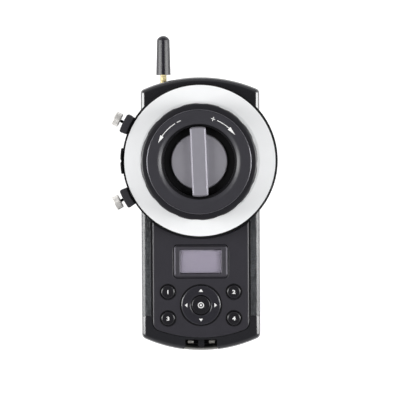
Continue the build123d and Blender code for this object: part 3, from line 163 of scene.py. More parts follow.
@dataclass(frozen=True)
class Finish:
    """A real material: two shades, gloss, and a relief with its grain and depth in millimetres."""

    name: str
    colour: str
    second: str
    roughness: float
    surface: Surface
    grain: float
    depth: float
    metallic: float = 0.0
    ior: float = 1.5
    specular: float = 0.5
    gloss_change: float = 0.06
    colour_change: float = 0.5
    edge: float = 0.0
    clear: float = 0.0
    coat: float = 0.0
    centre: tuple[float, float, float] = ORIGIN
    axis: tuple[float, float, float] = ORIGIN

    def material(self) -> Material:
        """Returns the finish's material, made at its first use."""
        return bpy.data.materials.get(self.name) or self.build()

    def build(self) -> Material:
        """Builds the material's nodes.

        Returns:
            The new material.
        """
        material = bpy.data.materials.new(self.name)
        tree = empty_tree(material)
        height, mottle = self.pattern(tree)
        colour = add_node(tree, "Mix", {
            MIX_SHARE: mottle, MIX_FIRST: linear(self.colour), MIX_SECOND: linear(self.second),
        }, data_type="RGBA")
        rough = add_node(tree, "MapRange", {
            "Value": height,
            "To Min": self.roughness - self.gloss_change,
            "To Max": self.roughness + self.gloss_change,
        })
        bump = {"Height": height, "Strength": 1.0, "Distance": self.depth * MM}
        if self.edge:
            rounded = add_node(tree, "Bevel", {"Radius": self.edge * MM}, samples=BEVEL_SAMPLES)
            bump["Normal"] = rounded.outputs["Normal"]
        normal = add_node(tree, "Bump", bump)
        shader = add_node(tree, "BsdfPrincipled", {
            "Base Color": colour.outputs[MIX_RESULT],
            "Roughness": rough.outputs["Result"],
            "Normal": normal.outputs["Normal"],
            "Metallic": self.metallic,
            "IOR": self.ior,
            "Specular IOR Level": self.specular,
            "Transmission Weight": self.clear,
            "Coat Weight": self.coat,
            "Coat Roughness": self.roughness * COAT_ROUGHNESS,
        })
        add_node(tree, "OutputMaterial", {"Surface": shader.outputs["BSDF"]})
        return material

    def pattern(self, tree: NodeTree) -> tuple[NodeSocket, NodeSocket]:
        """Builds the nodes of the surface pattern.

        Args:
            tree: The material's tree.

        Returns:
            The relief's height and the share of the second colour, both from 0 to 1.
        """
        scale = 1 / (self.grain * MM)
        place = add_node(tree, "TexCoord")
        vector = add_node(tree, "Mapping", {
            "Vector": place.outputs["Object"],
            "Location": [value * MM for value in self.centre],
            "Rotation": self.axis,
        }, vector_type="TEXTURE").outputs["Vector"]
        cloud = add_node(tree, "TexNoise", {
            "Vector": vector, "Scale": scale / CLOUD_SIZE, "Detail": CLOUD_DETAIL,
        })
        mottle = add_node(tree, "MapRange", {
            "Value": cloud.outputs["Fac"], "From Min": CLOUD_RANGE[0], "From Max": CLOUD_RANGE[1],
            "To Min": 0.0, "To Max": self.colour_change,
        }).outputs["Result"]
        if self.surface is Surface.HIDE:
            return self.hide(tree, vector, scale, mottle)
        if self.surface is Surface.BOARD:
            tracks = add_node(tree, "TexVoronoi", {
                "Vector": vector, "Scale": scale, "Randomness": TRACK_JITTER,
            }, distance="CHEBYCHEV")
            return tracks.outputs["Distance"], mottle
        if self.surface is Surface.TURNED:
            vector = self.rings(tree, vector)
        elif self.surface is Surface.GROUND:
            vector = add_node(tree, "Mapping", {
                "Vector": vector, "Scale": (SCRATCH_STRETCH, 1.0, 1.0),
            }, vector_type="POINT").outputs["Vector"]
        grain = add_node(tree, "TexNoise", {
            "Vector": vector, "Scale": scale, "Detail": GRAIN_DETAIL, "Roughness": GRAIN_FALLOFF,
        })
        return grain.outputs["Fac"], mottle

    def hide(
        self, tree: NodeTree, vector: NodeSocket, scale: float, mottle: NodeSocket
    ) -> tuple[NodeSocket, NodeSocket]:
        """Builds the pebbled cells of a hide, with the second colour in their creases as painted
        shade.

        Args:
            tree: The material's tree.
            vector: The place on the piece.
            scale: Cells to a metre.
            mottle: The share of the second colour away from the creases.

        Returns:
            The relief's height and the share of the second colour, both from 0 to 1.
        """
        cells = add_node(tree, "TexVoronoi", {
            "Vector": vector, "Scale": scale, "Randomness": HIDE_JITTER,
        }, feature="DISTANCE_TO_EDGE")
        crown = add_node(tree, "MapRange", {
            "Value": cells.outputs["Distance"], "From Min": 0.0, "From Max": CREASE_WIDTH,
        }, interpolation_type="SMOOTHSTEP").outputs["Result"]
        # Painted shade: the creases take the second colour, the cells' crowns keep the first
        crease = add_node(tree, "Math", {
            0: crown, 1: -self.colour_change, 2: self.colour_change,
        }, operation="MULTIPLY_ADD").outputs["Value"]
        darker = add_node(tree, "Math", {0: crease, 1: mottle}, operation="MAXIMUM")
        return crown, darker.outputs["Value"]

    def rings(self, tree: NodeTree, vector: NodeSocket) -> NodeSocket:
        """Bends the pattern into fine rings round the piece's own axis.

        Args:
            tree: The material's tree.
            vector: The place from the piece's centre, its axis along Z.

        Returns:
            The bent place.
        """
        parts = add_node(tree, "SeparateXYZ", {"Vector": vector})
        flat = add_node(tree, "CombineXYZ", {"X": parts.outputs["X"], "Y": parts.outputs["Y"]})
        reach = add_node(tree, "VectorMath", {0: flat.outputs["Vector"]}, operation="LENGTH")
        return add_node(tree, "CombineXYZ", {
            "X": reach.outputs["Value"], "Y": parts.outputs["Z"],
        }).outputs["Vector"]


# Satin enamel on a cast shell: near black, smooth, with one clear soft highlight on each round edge
SATIN_ENAMEL = Finish(
    "satin_enamel", "#1c1c20", "#17171b", 0.22, Surface.SPARK, 0.35, 0.001, ior=1.6, specular=0.85,
    coat=0.9)
# Embossed leatherette: pebbled cells a millimetre or so wide, their creases darkened with painted
# shade, dull on top
LEATHERETTE = Finish(
    "leatherette", "#33383d", "#0d0f11", 0.4, Surface.HIDE, 1.5, 0.09, specular=0.85, edge=0.3,
    colour_change=0.9, coat=0.9)
# Moulded ABS with a fine spark-eroded grain: dark warm grey, even and matt
MOULDED_ABS = Finish(
    "moulded_abs", "#201e26", "#1a1820", 0.36, Surface.SPARK, 0.45, 0.004, specular=1.0, edge=0.8)
# Black anodised aluminium, blasted first: a soft grey sheen on top and lighter edges
BLASTED_BLACK = Finish(
    "blasted_black_anodised", "#535157", "#4a494f", 0.42, Surface.BLASTED, 0.3, 0.003, metallic=0.7,
    edge=0.3)
# Cast acrylic: clear, flat and polished
CLEAR_ACRYLIC = Finish(
    "cast_acrylic", "#f2f0f6", "#eceaf2", 0.04, Surface.POLISHED, 4.0, 0.0, ior=1.49,
    gloss_change=0.01, clear=1.0)
# Unlit liquid-crystal glass: its lavender grey painted far lighter to make up for the shade of the
# window and the bezel, with a faint grid behind a polarising film
LCD_GLASS = Finish("lcd_glass", "#ebe6ee", "#e3dee6", 0.3, Surface.GROUND, 0.8, 0.001)
# Hard silicone keys: black, satin, slightly worn on their crowns
SILICONE_KEY = Finish(
    "silicone_key", "#151418", "#1b1a1e", 0.26, Surface.SPARK, 0.35, 0.002, ior=1.45, specular=1.0,
    edge=0.5)
# Soft-touch pad of the same silicone, painted lighter than the keys as painted sheen: black with a
# brighter moulded edge
SILICONE_PAD = Finish(
    "silicone_pad", "#232228", "#28272d", 0.24, Surface.SPARK, 0.35, 0.002, ior=1.45, specular=1.0,
    edge=0.9, coat=0.8)
# Solder mask on glass laminate: green with darker tracks under it
SOLDER_MASK = Finish("solder_mask", "#14522f", "#0c3a20", 0.35, Surface.BOARD, 1.6, 0.02)
# Glass-filled polyester: plain black mouldings inside
FILLED_POLYESTER = Finish("filled_polyester", "#2a2a2a", "#222222", 0.5, Surface.SPARK, 0.4, 0.005)
# Ground stainless steel: bright, with faint lines from the grinding wheel
GROUND_STEEL = Finish(
    "ground_steel", "#c6c3bd", "#b3afa8", 0.24, Surface.GROUND, 0.12, 0.002, metallic=1.0, edge=0.1)
# Turned brass: pale gold with fine lathe rings
TURNED_BRASS = Finish(
    "turned_brass", "#bcb088", "#a89b73", 0.42, Surface.TURNED, 0.12, 0.003, metallic=1.0,
    edge=0.08)
# The same brass on the antenna's neck, with the lathe rings round the neck's own axis
NECK_BRASS = replace(TURNED_BRASS, name="turned_brass_neck", centre=NECK_CENTRE, axis=ALONG_Y)
# Moulded rubber: black with a soft sheen on its round faces
MOULDED_RUBBER = Finish(
    "moulded_rubber", "#111015", "#15141a", 0.34, Surface.SPARK, 0.5, 0.004, ior=1.52, specular=0.6,
    edge=0.2)
# Thermoplastic sleeve over the antenna: black with a narrow sheen along each side
SLEEVE_PLASTIC = Finish(
    "sleeve_thermoplastic", "#19171f", "#1e1c23", 0.28, Surface.SPARK, 0.5, 0.003, specular=0.6,
    edge=0.3)
# Black hard-anodised aluminium, turned: very dark, with a fine sheen round its rims
HARD_ANODISED = Finish(
    "hard_anodised", "#0f0f11", "#141416", 0.36, Surface.TURNED, 0.2, 0.002, edge=0.12)
# Moulded acetal: opaque white, slightly soft in its highlights
WHITE_ACETAL = Finish(
    "white_acetal", "#edeeee", "#e8e9e9", 0.42, Surface.SPARK, 0.4, 0.002, ior=1.48, edge=0.15,
    colour_change=0.3)
# Moulded nylon of the knob and the limit blocks: charcoal with an even matt grain
MOULDED_NYLON = Finish(
    "moulded_nylon", "#2a292f", "#242328", 0.38, Surface.SPARK, 0.4, 0.003, specular=0.7, edge=0.3)
# Grey anodised aluminium, bead-blasted: even mid grey with brighter edges
GREY_ANODISED = Finish(
    "grey_anodised", "#9b99a1", "#939199", 0.46, Surface.BLASTED, 0.25, 0.003, metallic=0.6,
    edge=0.3, colour_change=0.4)
# The same aluminium on the turned disc, painted a shade lighter than on the bar to make up for the
# shade that the knob's bowl casts on it
LIT_DISC_ANODISED = Finish(
    "grey_anodised_lit_copy", "#acaab1", "#a3a1a8", 0.46, Surface.BLASTED, 0.25, 0.003, metallic=0.6,
    edge=0.2, colour_change=0.4)
# Diamond-cut aluminium: a thin bright line round the knob's face
CUT_EDGE = Finish(
    "diamond_cut_aluminium", "#97969c", "#908f95", 0.3, Surface.TURNED, 0.1, 0.001, metallic=1.0)
# Nickel plate on the strap pin's collars, pale where the pin's glints fall: a painted highlight
# inside the dark recess
NICKEL_PAINTED_GLINT = Finish(
    "nickel_painted_glint", "#dcd9d2", "#cfccc5", 0.35, Surface.GROUND, 0.15, 0.001, metallic=0.5)
# Shrink sleeve round the battery cells: dark grey and slightly glossy
SHRINK_SLEEVE = Finish("shrink_sleeve", "#333437", "#2b2c2f", 0.35, Surface.SPARK, 2.0, 0.02)
# Pressed wool felt: dull off-white with loose fibres
PRESSED_FELT = Finish("pressed_felt", "#b8b2a2", "#948d7c", 0.9, Surface.FIBRE, 0.5, 0.12)
# Chrome steel races and magnets: bright and polished
BEARING_STEEL = Finish(
    "bearing_steel", "#cfcfd2", "#bdbdc1", 0.14, Surface.TURNED, 0.1, 0.001, metallic=1.0,
    edge=0.08)
# Satin aluminium trim of the strap guard: light grey with a soft sheen
SATIN_TRIM = Finish(
    "satin_trim", "#b4b3b0", "#a7a5a0", 0.34, Surface.GROUND, 0.15, 0.002, metallic=0.7, edge=0.15)
# Knurled stainless heads: a pale warm silver broken up by the knurl
KNURLED_STEEL = Finish(
    "knurled_steel", "#f2f0ec", "#d6d3cb", 0.42, Surface.BLASTED, 0.15, 0.002, metallic=0.6)
# Black oxide on steel: a dark, dull skin on the shanks; on the strap pin it also stands in for the
# shade in its recess
BLACK_OXIDE = Finish(
    "black_oxide", "#19191b", "#131314", 0.45, Surface.GROUND, 0.15, 0.002, metallic=1.0)
# Painted shade: a flat black laid round the panel's openings and in the knob's bowl, where shadow
# falls; deep and without sheen
PAINTED_SHADE_BLACK = Finish(
    "painted_shade_black", "#0b0b0d", "#09090a", 0.6, Surface.SPARK, 0.3, 0.001, specular=0.2)
# Pad-printed ink: flat white
PRINT_INK = Finish(
    "pad_print_ink", "#e6e6e4", "#dadad8", 0.55, Surface.SPARK, 0.3, 0.001, colour_change=0.3)

DRESSING = {
    SATIN_ENAMEL: ("front_housing", "rear_housing", "battery_door"),
    LEATHERETTE: ("left_grip", "right_grip"),
    MOULDED_ABS: ("keypad_panel",),
    BLASTED_BLACK: ("display_bezel",),
    CLEAR_ACRYLIC: ("display_window",),
    LCD_GLASS: ("display_module",),
    SILICONE_KEY: ("button_1", "button_2", "button_3", "button_4", "centre_button",
                   "power_button", "door_latch"),
    SILICONE_PAD: ("dpad_ring",),
    SOLDER_MASK: ("keypad_board", "main_board"),
    FILLED_POLYESTER: ("display_carrier", "dpad_gimbal", "dpad_cradle", "dome_switches",
                       "angle_sensor", "power_switch"),
    GROUND_STEEL: ("board_screws", "housing_screws", "door_hinge_pin", "radio_module",
                   "wheel_shaft", "retaining_ring", "thrust_washer", "track_screws",
                   "thumb_screw_upper", "thumb_screw_lower", "drive_pins", "lock_screw"),
    TURNED_BRASS: ("tripod_insert", "battery_contacts"),
    NECK_BRASS: ("antenna_connector",),
    MOULDED_RUBBER: ("knob_grip",),
    SLEEVE_PLASTIC: ("antenna_sleeve",),
    HARD_ANODISED: ("bearing_carrier", "track_ring", "index_pointer", "wheel_hub"),
    WHITE_ACETAL: ("marking_ring",),
    MOULDED_NYLON: ("hand_knob", "limit_block_upper", "limit_block_lower"),
    GREY_ANODISED: ("lock_bar",),
    LIT_DISC_ANODISED: ("lock_disc",),
    NICKEL_PAINTED_GLINT: ("strap_pin",),
    SHRINK_SLEEVE: ("battery_pack",),
    PRESSED_FELT: ("friction_ring",),
    BEARING_STEEL: ("lower_bearing", "upper_bearing", "angle_magnet", "ring_magnets"),
    SATIN_TRIM: ("strap_guard",),
}


class Bench(ABC):
    """The work that every sub-assembly shares: making, joining and finishing meshes."""

    @abstractmethod
    def build(self) -> None:
        """Builds the sub-assembly's pieces."""

    def corners(self, node: str) -> tuple[Vector, Vector]:
        """Returns a node's lowest and highest corners in millimetres."""
        low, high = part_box(node)
        return low / MM, high / MM

    def middle(self, node: str) -> tuple[float, float, float]:
        """Returns a node's middle seen from the front, in millimetres and at a height of zero."""
        low, high = self.corners(node)
        return (low.x + high.x) / 2, (low.y + high.y) / 2, 0.0

    def move(self, shape: BMesh, shift: Sequence[float]) -> None:
        """Moves a mesh by a shift in millimetres."""
        bmesh.ops.translate(shape, verts=shape.verts, vec=shift)

    def rotate(self, shape: BMesh, angle: float, axis: str) -> None:
        """Rotates a mesh by an angle in radians about one of the main axes."""
        bmesh.ops.rotate(shape, verts=shape.verts, cent=ORIGIN,
                         matrix=Matrix.Rotation(angle, 3, axis))

    def plate(self, wide: float, tall: float) -> BMesh:
        """Returns a flat rectangle of the size given, its middle at the origin."""
        shape = bmesh.new()
        bmesh.ops.create_grid(shape, x_segments=1, y_segments=1, size=HALF_UNIT)
        bmesh.ops.scale(shape, verts=shape.verts, vec=(wide, tall, 1))
        return shape

    def lathe(
        self, points: list[tuple[float, float]], steps: int, closed: bool = False,
        angle: float = FULL_TURN, climb: float = 0.0,
    ) -> BMesh:
        """Turns a profile about Z.

        Args:
            points: Radius and height of each point, in millimetres.
            steps: Number of faces on the way round.
            closed: Whether the last point joins the first.
            angle: How far the profile turns, in radians.
            climb: Its rise at each step.

        Returns:
            The turned mesh.
        """
        shape = bmesh.new()
        corners = [shape.verts.new((radius, 0, height)) for radius, height in points]
        followers = corners[1:] + (corners[:1] if closed else [])
        edges = [shape.edges.new(ends) for ends in zip(corners, followers)]
        bmesh.ops.spin(shape, geom=corners + edges, cent=ORIGIN, axis=UPWARDS,
                       dvec=(0, 0, climb), angle=angle, steps=steps,
                       use_merge=angle == FULL_TURN)
        bmesh.ops.remove_doubles(shape, verts=shape.verts, dist=WELD)
        return shape

    def press(
        self, shape: BMesh, radius: float, depth: float, columns: int,
        start: float = 0.0, row: float = math.inf,
    ) -> None:
        """Presses every other column of a turned rim inwards, changing over at each row.

        Args:
            shape: The turned mesh.
            radius: The rim's radius.
            depth: How deep the corners go.
            columns: Number of columns round the rim.
            start: Height of the first row.
            row: Height between two rows.
        """
        for vertex in shape.verts:
            reach = vertex.co.xy.length
            if abs(reach - radius) > depth / 2:
                continue
            angle = math.atan2(vertex.co.y, vertex.co.x)
            if (round((vertex.co.z - start) / row) + round(angle * columns / FULL_TURN)) % 2:
                vertex.co.xy *= 1 - depth / reach

    def join(self, whole: BMesh, part: BMesh) -> None:
        """Takes one mesh into another.

        Args:
            whole: The mesh that grows.
            part: The mesh that goes into it. It is freed.
        """
        mesh = bpy.data.meshes.new("joined")
        part.to_mesh(mesh)
        part.free()
        whole.from_mesh(mesh)
        bpy.data.meshes.remove(mesh)

    def drape(self, shape: BMesh, node: str, thickness: float) -> None:
        """Lays a flat mark on top of a node and gives it its thickness.

        Args:
            shape: The mark, at its place in X and Y, in millimetres.
            node: The node that carries it.
            thickness: How far the mark stands proud, in millimetres.
        """
        carrier = bmesh.new()
        carrier.from_mesh(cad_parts[node].data)
        surface = BVHTree.FromBMesh(carrier)
        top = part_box(node)[1].z + MM
        for vertex in shape.verts:
            above = Vector((vertex.co.x * MM, vertex.co.y * MM, top))
            hit = surface.ray_cast(above, -Vector(UPWARDS))[0]
            vertex.co.z = (hit.z if hit else top - MM) / MM
        carrier.free()
        raised = bmesh.ops.extrude_face_region(shape, geom=shape.faces[:])["geom"]
        lifted = [item for item in raised if isinstance(item, BMVert)]
        bmesh.ops.translate(shape, verts=lifted, vec=(0, 0, thickness))

    def add(
        self, name: str, shape: BMesh, body: str, finish: Finish, slot: str,
        replaced: tuple[str, ...] = (),
    ) -> None:
        """Makes a mesh in millimetres a dressed piece in metres that rides on a body.

        Args:
            name: The piece's name.
            shape: Its mesh, at its place. It is freed.
            body: The body that carries it.
            finish: The finish that it wears.
            slot: The record's material slot. Not used.
            replaced: The nodes that it stands for.
        """
        bmesh.ops.remove_doubles(shape, verts=shape.verts, dist=WELD)
        bmesh.ops.recalc_face_normals(shape, faces=shape.faces)
        bmesh.ops.scale(shape, vec=(MM, MM, MM), verts=shape.verts)
        for face in shape.faces:
            face.smooth = True
        mesh = bpy.data.meshes.new(name)
        shape.to_mesh(mesh)
        shape.free()
        mesh.set_sharp_from_angle(angle=SMOOTH_ANGLE)
        mesh.materials.append(finish.material())
        piece = bpy.data.objects.new(name, mesh)
        bpy.context.scene.collection.objects.link(piece)
        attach(piece, body)
        if replaced:
            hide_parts(*replaced)
        log.info("%s: %d faces on %s", name, len(mesh.polygons), body)


@dataclass
class ThumbScrew(Bench):
    """A knurled thumb screw that runs radially through a limit block."""

    side: str
    angle: float
    height: float = 40.3
    inner_end: float = 45.85
    shank: float = 0.9
    thread_depth: float = 0.14
    thread_pitch: float = 0.5
    head: float = 4.1
    head_start: float = 52.2
    head_length: float = 4.1
    head_round: float = 0.45
    knurl_depth: float = 0.17
    knurl_count: int = 28
    knurl_rows: int = 9
    dimple: float = 1.5
    dimple_floor: float = 1.05
    dimple_depth: float = 0.35

    def shank_profile(self) -> list[tuple[float, float]]:
        """Draws the threaded shank, from its tip out to the head.

        Returns:
            Radius and height of each point of the half outline.
        """
        root = self.shank - self.thread_depth
        points = [(0.0, self.inner_end), (root, self.inner_end)]
        threads = int((self.head_start - self.inner_end) / self.thread_pitch)
        for turn in range(threads):
            crest = self.inner_end + (turn + 0.5) * self.thread_pitch
            points += [(self.shank, crest), (root, crest + self.thread_pitch / 2)]
        return [*points, (root, self.head_start + WELD), (0.0, self.head_start + WELD)]

    def head_profile(self) -> list[tuple[float, float]]:
        """Draws the knurled head, from the shank out to its middle.

        Returns:
            Radius and height of each point of the half outline.
        """
        shoulder = self.head - self.head_round
        start = self.head_start + self.head_round
        end = self.head_start + self.head_length
        run = self.head_length - 2 * self.head_round
        knurled = [(self.head, start + run * row / self.knurl_rows)
                   for row in range(self.knurl_rows + 1)]
        return [(0.0, self.head_start), (shoulder, self.head_start), *knurled, (shoulder, end),
                (self.dimple, end), (self.dimple_floor, end - self.dimple_depth),
                (0.0, end - self.dimple_depth)]

    def lay(self, shape: BMesh) -> None:
        """Lays a turned mesh along the screw's radius."""
        self.rotate(shape, QUARTER_TURN, "Y")
        self.rotate(shape, math.radians(self.angle), "Z")
        self.move(shape, (0, 0, self.height))

    def build(self) -> None:
        """Turns the head and the shank, and knurls the head."""
        body, columns = f"thumb_{self.side}", 2 * self.knurl_count
        head = self.lathe(self.head_profile(), columns)
        self.press(head, self.head, self.knurl_depth, columns, self.head_start + self.head_round,
                   (self.head_length - 2 * self.head_round) / self.knurl_rows)
        self.lay(head)
        self.add(f"knurled_head_{self.side}", head, body, KNURLED_STEEL, "steel",
                 (f"thumb_screw_{self.side}",))
        shank = self.lathe(self.shank_profile(), self.knurl_count)
        self.lay(shank)
        self.add(f"screw_shank_{self.side}", shank, body, BLACK_OXIDE, "steel")


@dataclass
class TripodBush(Bench):
    """The brass bush in the back with its tripod thread."""

    outer: float = 4.75
    flange: float = 6.0
    length: float = 9.0
    flange_thickness: float = 1.0
    thread_major: float = 3.175
    thread_minor: float = 2.55
    pitch: float = 1.27
    depth: float = 8.0
    lead_in: float = 0.5
    crest: float = 0.16
    steps: int = 40

    def build(self) -> None:
        """Turns the bush and winds the thread in its bore."""
        shoulder = self.length - self.flange_thickness
        shape = self.lathe([
            (self.thread_major + self.lead_in / 2, 0.0), (self.outer, 0.0), (self.outer, shoulder),
            (self.flange, shoulder), (self.flange, self.length), (0.0, self.length),
            (0.0, self.depth), (self.thread_major, self.depth), (self.thread_major, self.lead_in),
        ], self.steps, closed=True)
        turns = int((self.depth - self.lead_in) / self.pitch) - 1
        root, ridge = self.thread_major + WELD, self.lead_in + self.pitch / 2
        thread = self.lathe([
            (root, self.lead_in), (self.thread_minor, ridge - self.crest),
            (self.thread_minor, ridge), (root, self.lead_in + self.pitch - self.crest),
        ], turns * self.steps, closed=True, angle=turns * FULL_TURN, climb=self.pitch / self.steps)
        ends = [edge for edge in thread.edges if edge.is_boundary]
        bmesh.ops.holes_fill(thread, edges=ends, sides=len(thread.verts))
        self.add("tripod_bush", shape, CASE, TURNED_BRASS, "brass", ("tripod_insert",))
        self.add("tripod_thread", thread, CASE, TURNED_BRASS, "brass")


@dataclass
class HousingScrews(Bench):
    """Six socket-head screws that hold the two halves of the housing."""

    across: float = 28.0
    rows: tuple[float, ...] = (32.0, -37.5, -96.5)
    head: float = 2.2
    head_bottom: float = 1.4
    seat: float = 3.0
    shank: float = 1.0
    length: float = 12.0
    edge: float = 0.25
    socket: float = 1.15
    socket_depth: float = 1.0
    socket_sides: int = 6
    sides: int = 24

    def screw(self) -> BMesh:
        """Turns one screw, its socket facing the back, and makes the socket a hexagon.

        Returns:
            The screw's mesh.
        """
        under = self.seat - self.head_bottom
        shape = self.lathe([
            (0.0, self.socket_depth), (self.socket, self.socket_depth), (self.socket, 0.0),
            (self.head - self.edge, 0.0), (self.head, self.edge), (self.head, under),
            (self.shank, under), (self.shank, under + self.length), (0.0, under + self.length),
        ], self.sides)
        flat = FULL_TURN / self.socket_sides
        for vertex in shape.verts:
            if abs(vertex.co.xy.length - self.socket) < WELD:
                angle = math.atan2(vertex.co.y, vertex.co.x) % flat - flat / 2
                vertex.co.xy *= math.cos(flat / 2) / math.cos(angle)
        return shape

    def build(self) -> None:
        """Makes all six screws as one piece."""
        whole = bmesh.new()
        for side in (-1, 1):
            for y in self.rows:
                screw = self.screw()
                self.move(screw, (side * self.across, y, self.head_bottom))
                self.join(whole, screw)
        self.add("socket_screws", whole, CASE, GROUND_STEEL, "steel", ("housing_screws",))


@dataclass
class AntennaNeck(Bench):
    """The fluted brass neck that the antenna stub screws onto."""

    flange_thickness: float = 1.4
    radius: float = 1.85
    flute: float = 0.1
    flutes: int = 20
    groove_drops: tuple[float, ...] = (1.1, 3.6)
    groove: float = 0.2

    def build(self) -> None:
        """Turns the neck, cuts its flutes and lays it along Y."""
        low, high = self.corners("antenna_connector")
        sleeve_end = self.corners("antenna_sleeve")[0].y
        flange = (high.x - low.x) / 2
        shoulder = low.y + self.flange_thickness
        points = [(0.0, low.y), (flange, low.y), (flange, shoulder), (self.radius, shoulder)]
        for drop in sorted(self.groove_drops, reverse=True):
            place = sleeve_end - drop
            points += [(self.radius, place - self.groove), (self.radius - self.groove, place),
                       (self.radius, place + self.groove)]
        points += [(self.radius, high.y), (0.0, high.y)]
        shape = self.lathe(points, 2 * self.flutes)
        self.press(shape, self.radius, self.flute, 2 * self.flutes)
        self.rotate(shape, -QUARTER_TURN, "X")
        self.move(shape, ((low.x + high.x) / 2, 0, (low.z + high.z) / 2))
        self.add("fluted_neck", shape, CASE, NECK_BRASS, "brass", ("antenna_connector",))


@dataclass
class StrapPin(Bench):
    """The pin in the strap recess: a blackened core that stands in for the recess's shade, with a
    pale collar at each side as a painted glint.
    """

    core: float = 0.8
    collar: float = 1.0
    collar_span: tuple[float, float] = (4.7, 8.0)
    collar_edge: float = 0.15
    steps: int = 32

    def lay(self, shape: BMesh, middle: Vector) -> None:
        """Lays a turned mesh across the body, with its middle at the place given."""
        self.rotate(shape, QUARTER_TURN, "Y")
        self.move(shape, middle)

    def build(self) -> None:
        """Turns the pin and its two collars."""
        low, high = self.corners("strap_pin")
        middle = (low + high) / 2
        half = (high.x - low.x) / 2
        pin = self.lathe([(0.0, -half), (self.core, -half), (self.core, half), (0.0, half)],
                         self.steps)
        self.lay(pin, middle)
        self.add("pin_painted_shade", pin, CASE, BLACK_OXIDE, "steel", ("strap_pin",))
        near, far = self.collar_span
        inner, rim = self.core - self.collar_edge, self.collar - self.collar_edge
        outline = [(inner, near), (rim, near), (self.collar, near + self.collar_edge),
                   (self.collar, far - self.collar_edge), (rim, far), (inner, far)]
        for side, name in ((1, "right"), (-1, "left")):
            collar = self.lathe([(radius, side * place) for radius, place in outline],
                                self.steps, closed=True)
            self.lay(collar, middle)
            self.add(f"pin_painted_glint_{name}", collar, CASE, NICKEL_PAINTED_GLINT, "steel")


@dataclass
class OpeningRims(Bench):
    """Flat black rims round the panel's openings: painted shade that draws a dark line round each
    key and the bezel.
    """

    button_hole: float = 4.45
    pad_hole: float = 12.05
    bezel: tuple[float, float] = (31.7, 19.1)
    bezel_groove: float = 0.5
    bezel_corner: float = 2.5
    corner_steps: int = 6
    corner_shape: float = 0.5
    inset: float = 0.06
    width: float = 0.42
    thickness: float = 0.02
    sides: int = 64

    def bezel_frame(self) -> BMesh:
        """Draws the flat rounded frame round the display's bezel.

        Returns:
            The frame's mesh.
        """
        margin = self.inset + self.width
        shape = self.plate(*(side + 2 * (self.bezel_groove + margin) for side in self.bezel))
        bmesh.ops.bevel(shape, geom=shape.verts[:], affect="VERTICES", material=-1,
                        offset=self.bezel_corner + margin, segments=self.corner_steps,
                        profile=self.corner_shape)
        inner = shape.faces[:]
        bmesh.ops.inset_region(shape, faces=inner, thickness=self.width, use_even_offset=True)
        bmesh.ops.delete(shape, geom=inner, context="FACES")
        self.move(shape, self.middle("display_bezel"))
        return shape

    def build(self) -> None:
        """Makes the painted shade round all openings as one piece."""
        shape = self.bezel_frame()
        holes = {f"button_{digit}": self.button_hole for digit in range(1, BUTTONS + 1)}
        for node, hole in {**holes, "dpad_ring": self.pad_hole}.items():
            reach = hole + self.inset
            ring = self.lathe([(reach, 0.0), (reach + self.width, 0.0)], self.sides)
            self.move(ring, self.middle(node))
            self.join(shape, ring)
        self.drape(shape, "keypad_panel", self.thickness)
        self.add("opening_painted_shade", shape, CASE, PAINTED_SHADE_BLACK, "trim")


@dataclass
class KeyMarks(Bench):
    """The printed marks on the keys: numbers, the pad's four pointers and a ring with a dot."""

    number_size: float = 3.1
    number_weight: float = 0.035
    number_stretch: float = 1.2
    pointers: int = 4
    pointer_reach: float = 8.5
    pointer_width: float = 2.5
    pointer_depth: float = 1.5
    dot_ring: float = 1.8
    dot_line: float = 0.5
    dot: float = 0.62
    dot_sides: int = 24
    ring_steps: int = 40
    thickness: float = 0.03

    def number(self, digit: int) -> BMesh:
        """Draws a number as a flat mesh.

        Args:
            digit: The number.

        Returns:
            The flat number, its middle at the origin.
        """
        text = bpy.data.curves.new("number", "FONT")
        text.body = str(digit)
        text.size = self.number_size
        text.offset = self.number_size * self.number_weight
        holder = bpy.data.objects.new("number", text)
        mesh = bpy.data.meshes.new_from_object(holder)
        shape = bmesh.new()
        shape.from_mesh(mesh)
        bpy.data.objects.remove(holder)
        bpy.data.curves.remove(text)
        bpy.data.meshes.remove(mesh)
        ends = [[vertex.co[axis] for vertex in shape.verts] for axis in (0, 1)]
        self.move(shape, [*(-(min(places) + max(places)) / 2 for places in ends), 0])
        bmesh.ops.scale(shape, verts=shape.verts, vec=(self.number_stretch, 1, 1))
        return shape

    def pad_pointers(self) -> BMesh:
        """Draws the pointers round the pad's middle.

        Returns:
            The flat pointers.
        """
        shape = bmesh.new()
        for turn in range(self.pointers):
            pointer = bmesh.new()
            bmesh.ops.create_circle(pointer, cap_ends=True, segments=3, radius=1)
            bmesh.ops.scale(pointer, verts=pointer.verts, vec=(
                self.pointer_width / TRIANGLE[0], self.pointer_depth / TRIANGLE[1], 1))
            self.move(pointer, (0, self.pointer_reach, 0))
            self.rotate(pointer, turn * FULL_TURN / self.pointers, "Z")
            self.join(shape, pointer)
        return shape

    def centre_mark(self) -> BMesh:
        """Draws the centre button's ring and dot.

        Returns:
            The flat mark.
        """
        shape = self.lathe([(self.dot_ring - self.dot_line, 0.0), (self.dot_ring, 0.0)],
                           self.ring_steps)
        bmesh.ops.create_circle(shape, cap_ends=True, segments=self.dot_sides, radius=self.dot)
        return shape

    def build(self) -> None:
        """Prints the buttons, the pad and the centre button."""
        marks = [(f"button_number_{digit}", self.number(digit), f"button_{digit}", f"key_{digit}")
                 for digit in range(1, BUTTONS + 1)]
        marks += [("pad_pointers", self.pad_pointers(), "dpad_ring", PAD),
                  ("centre_mark", self.centre_mark(), "centre_button", KEY_CENTRE)]
        for name, shape, node, body in marks:
            self.move(shape, self.middle(node))
            self.drape(shape, node, self.thickness)
            self.add(name, shape, body, PRINT_INK, "trim")


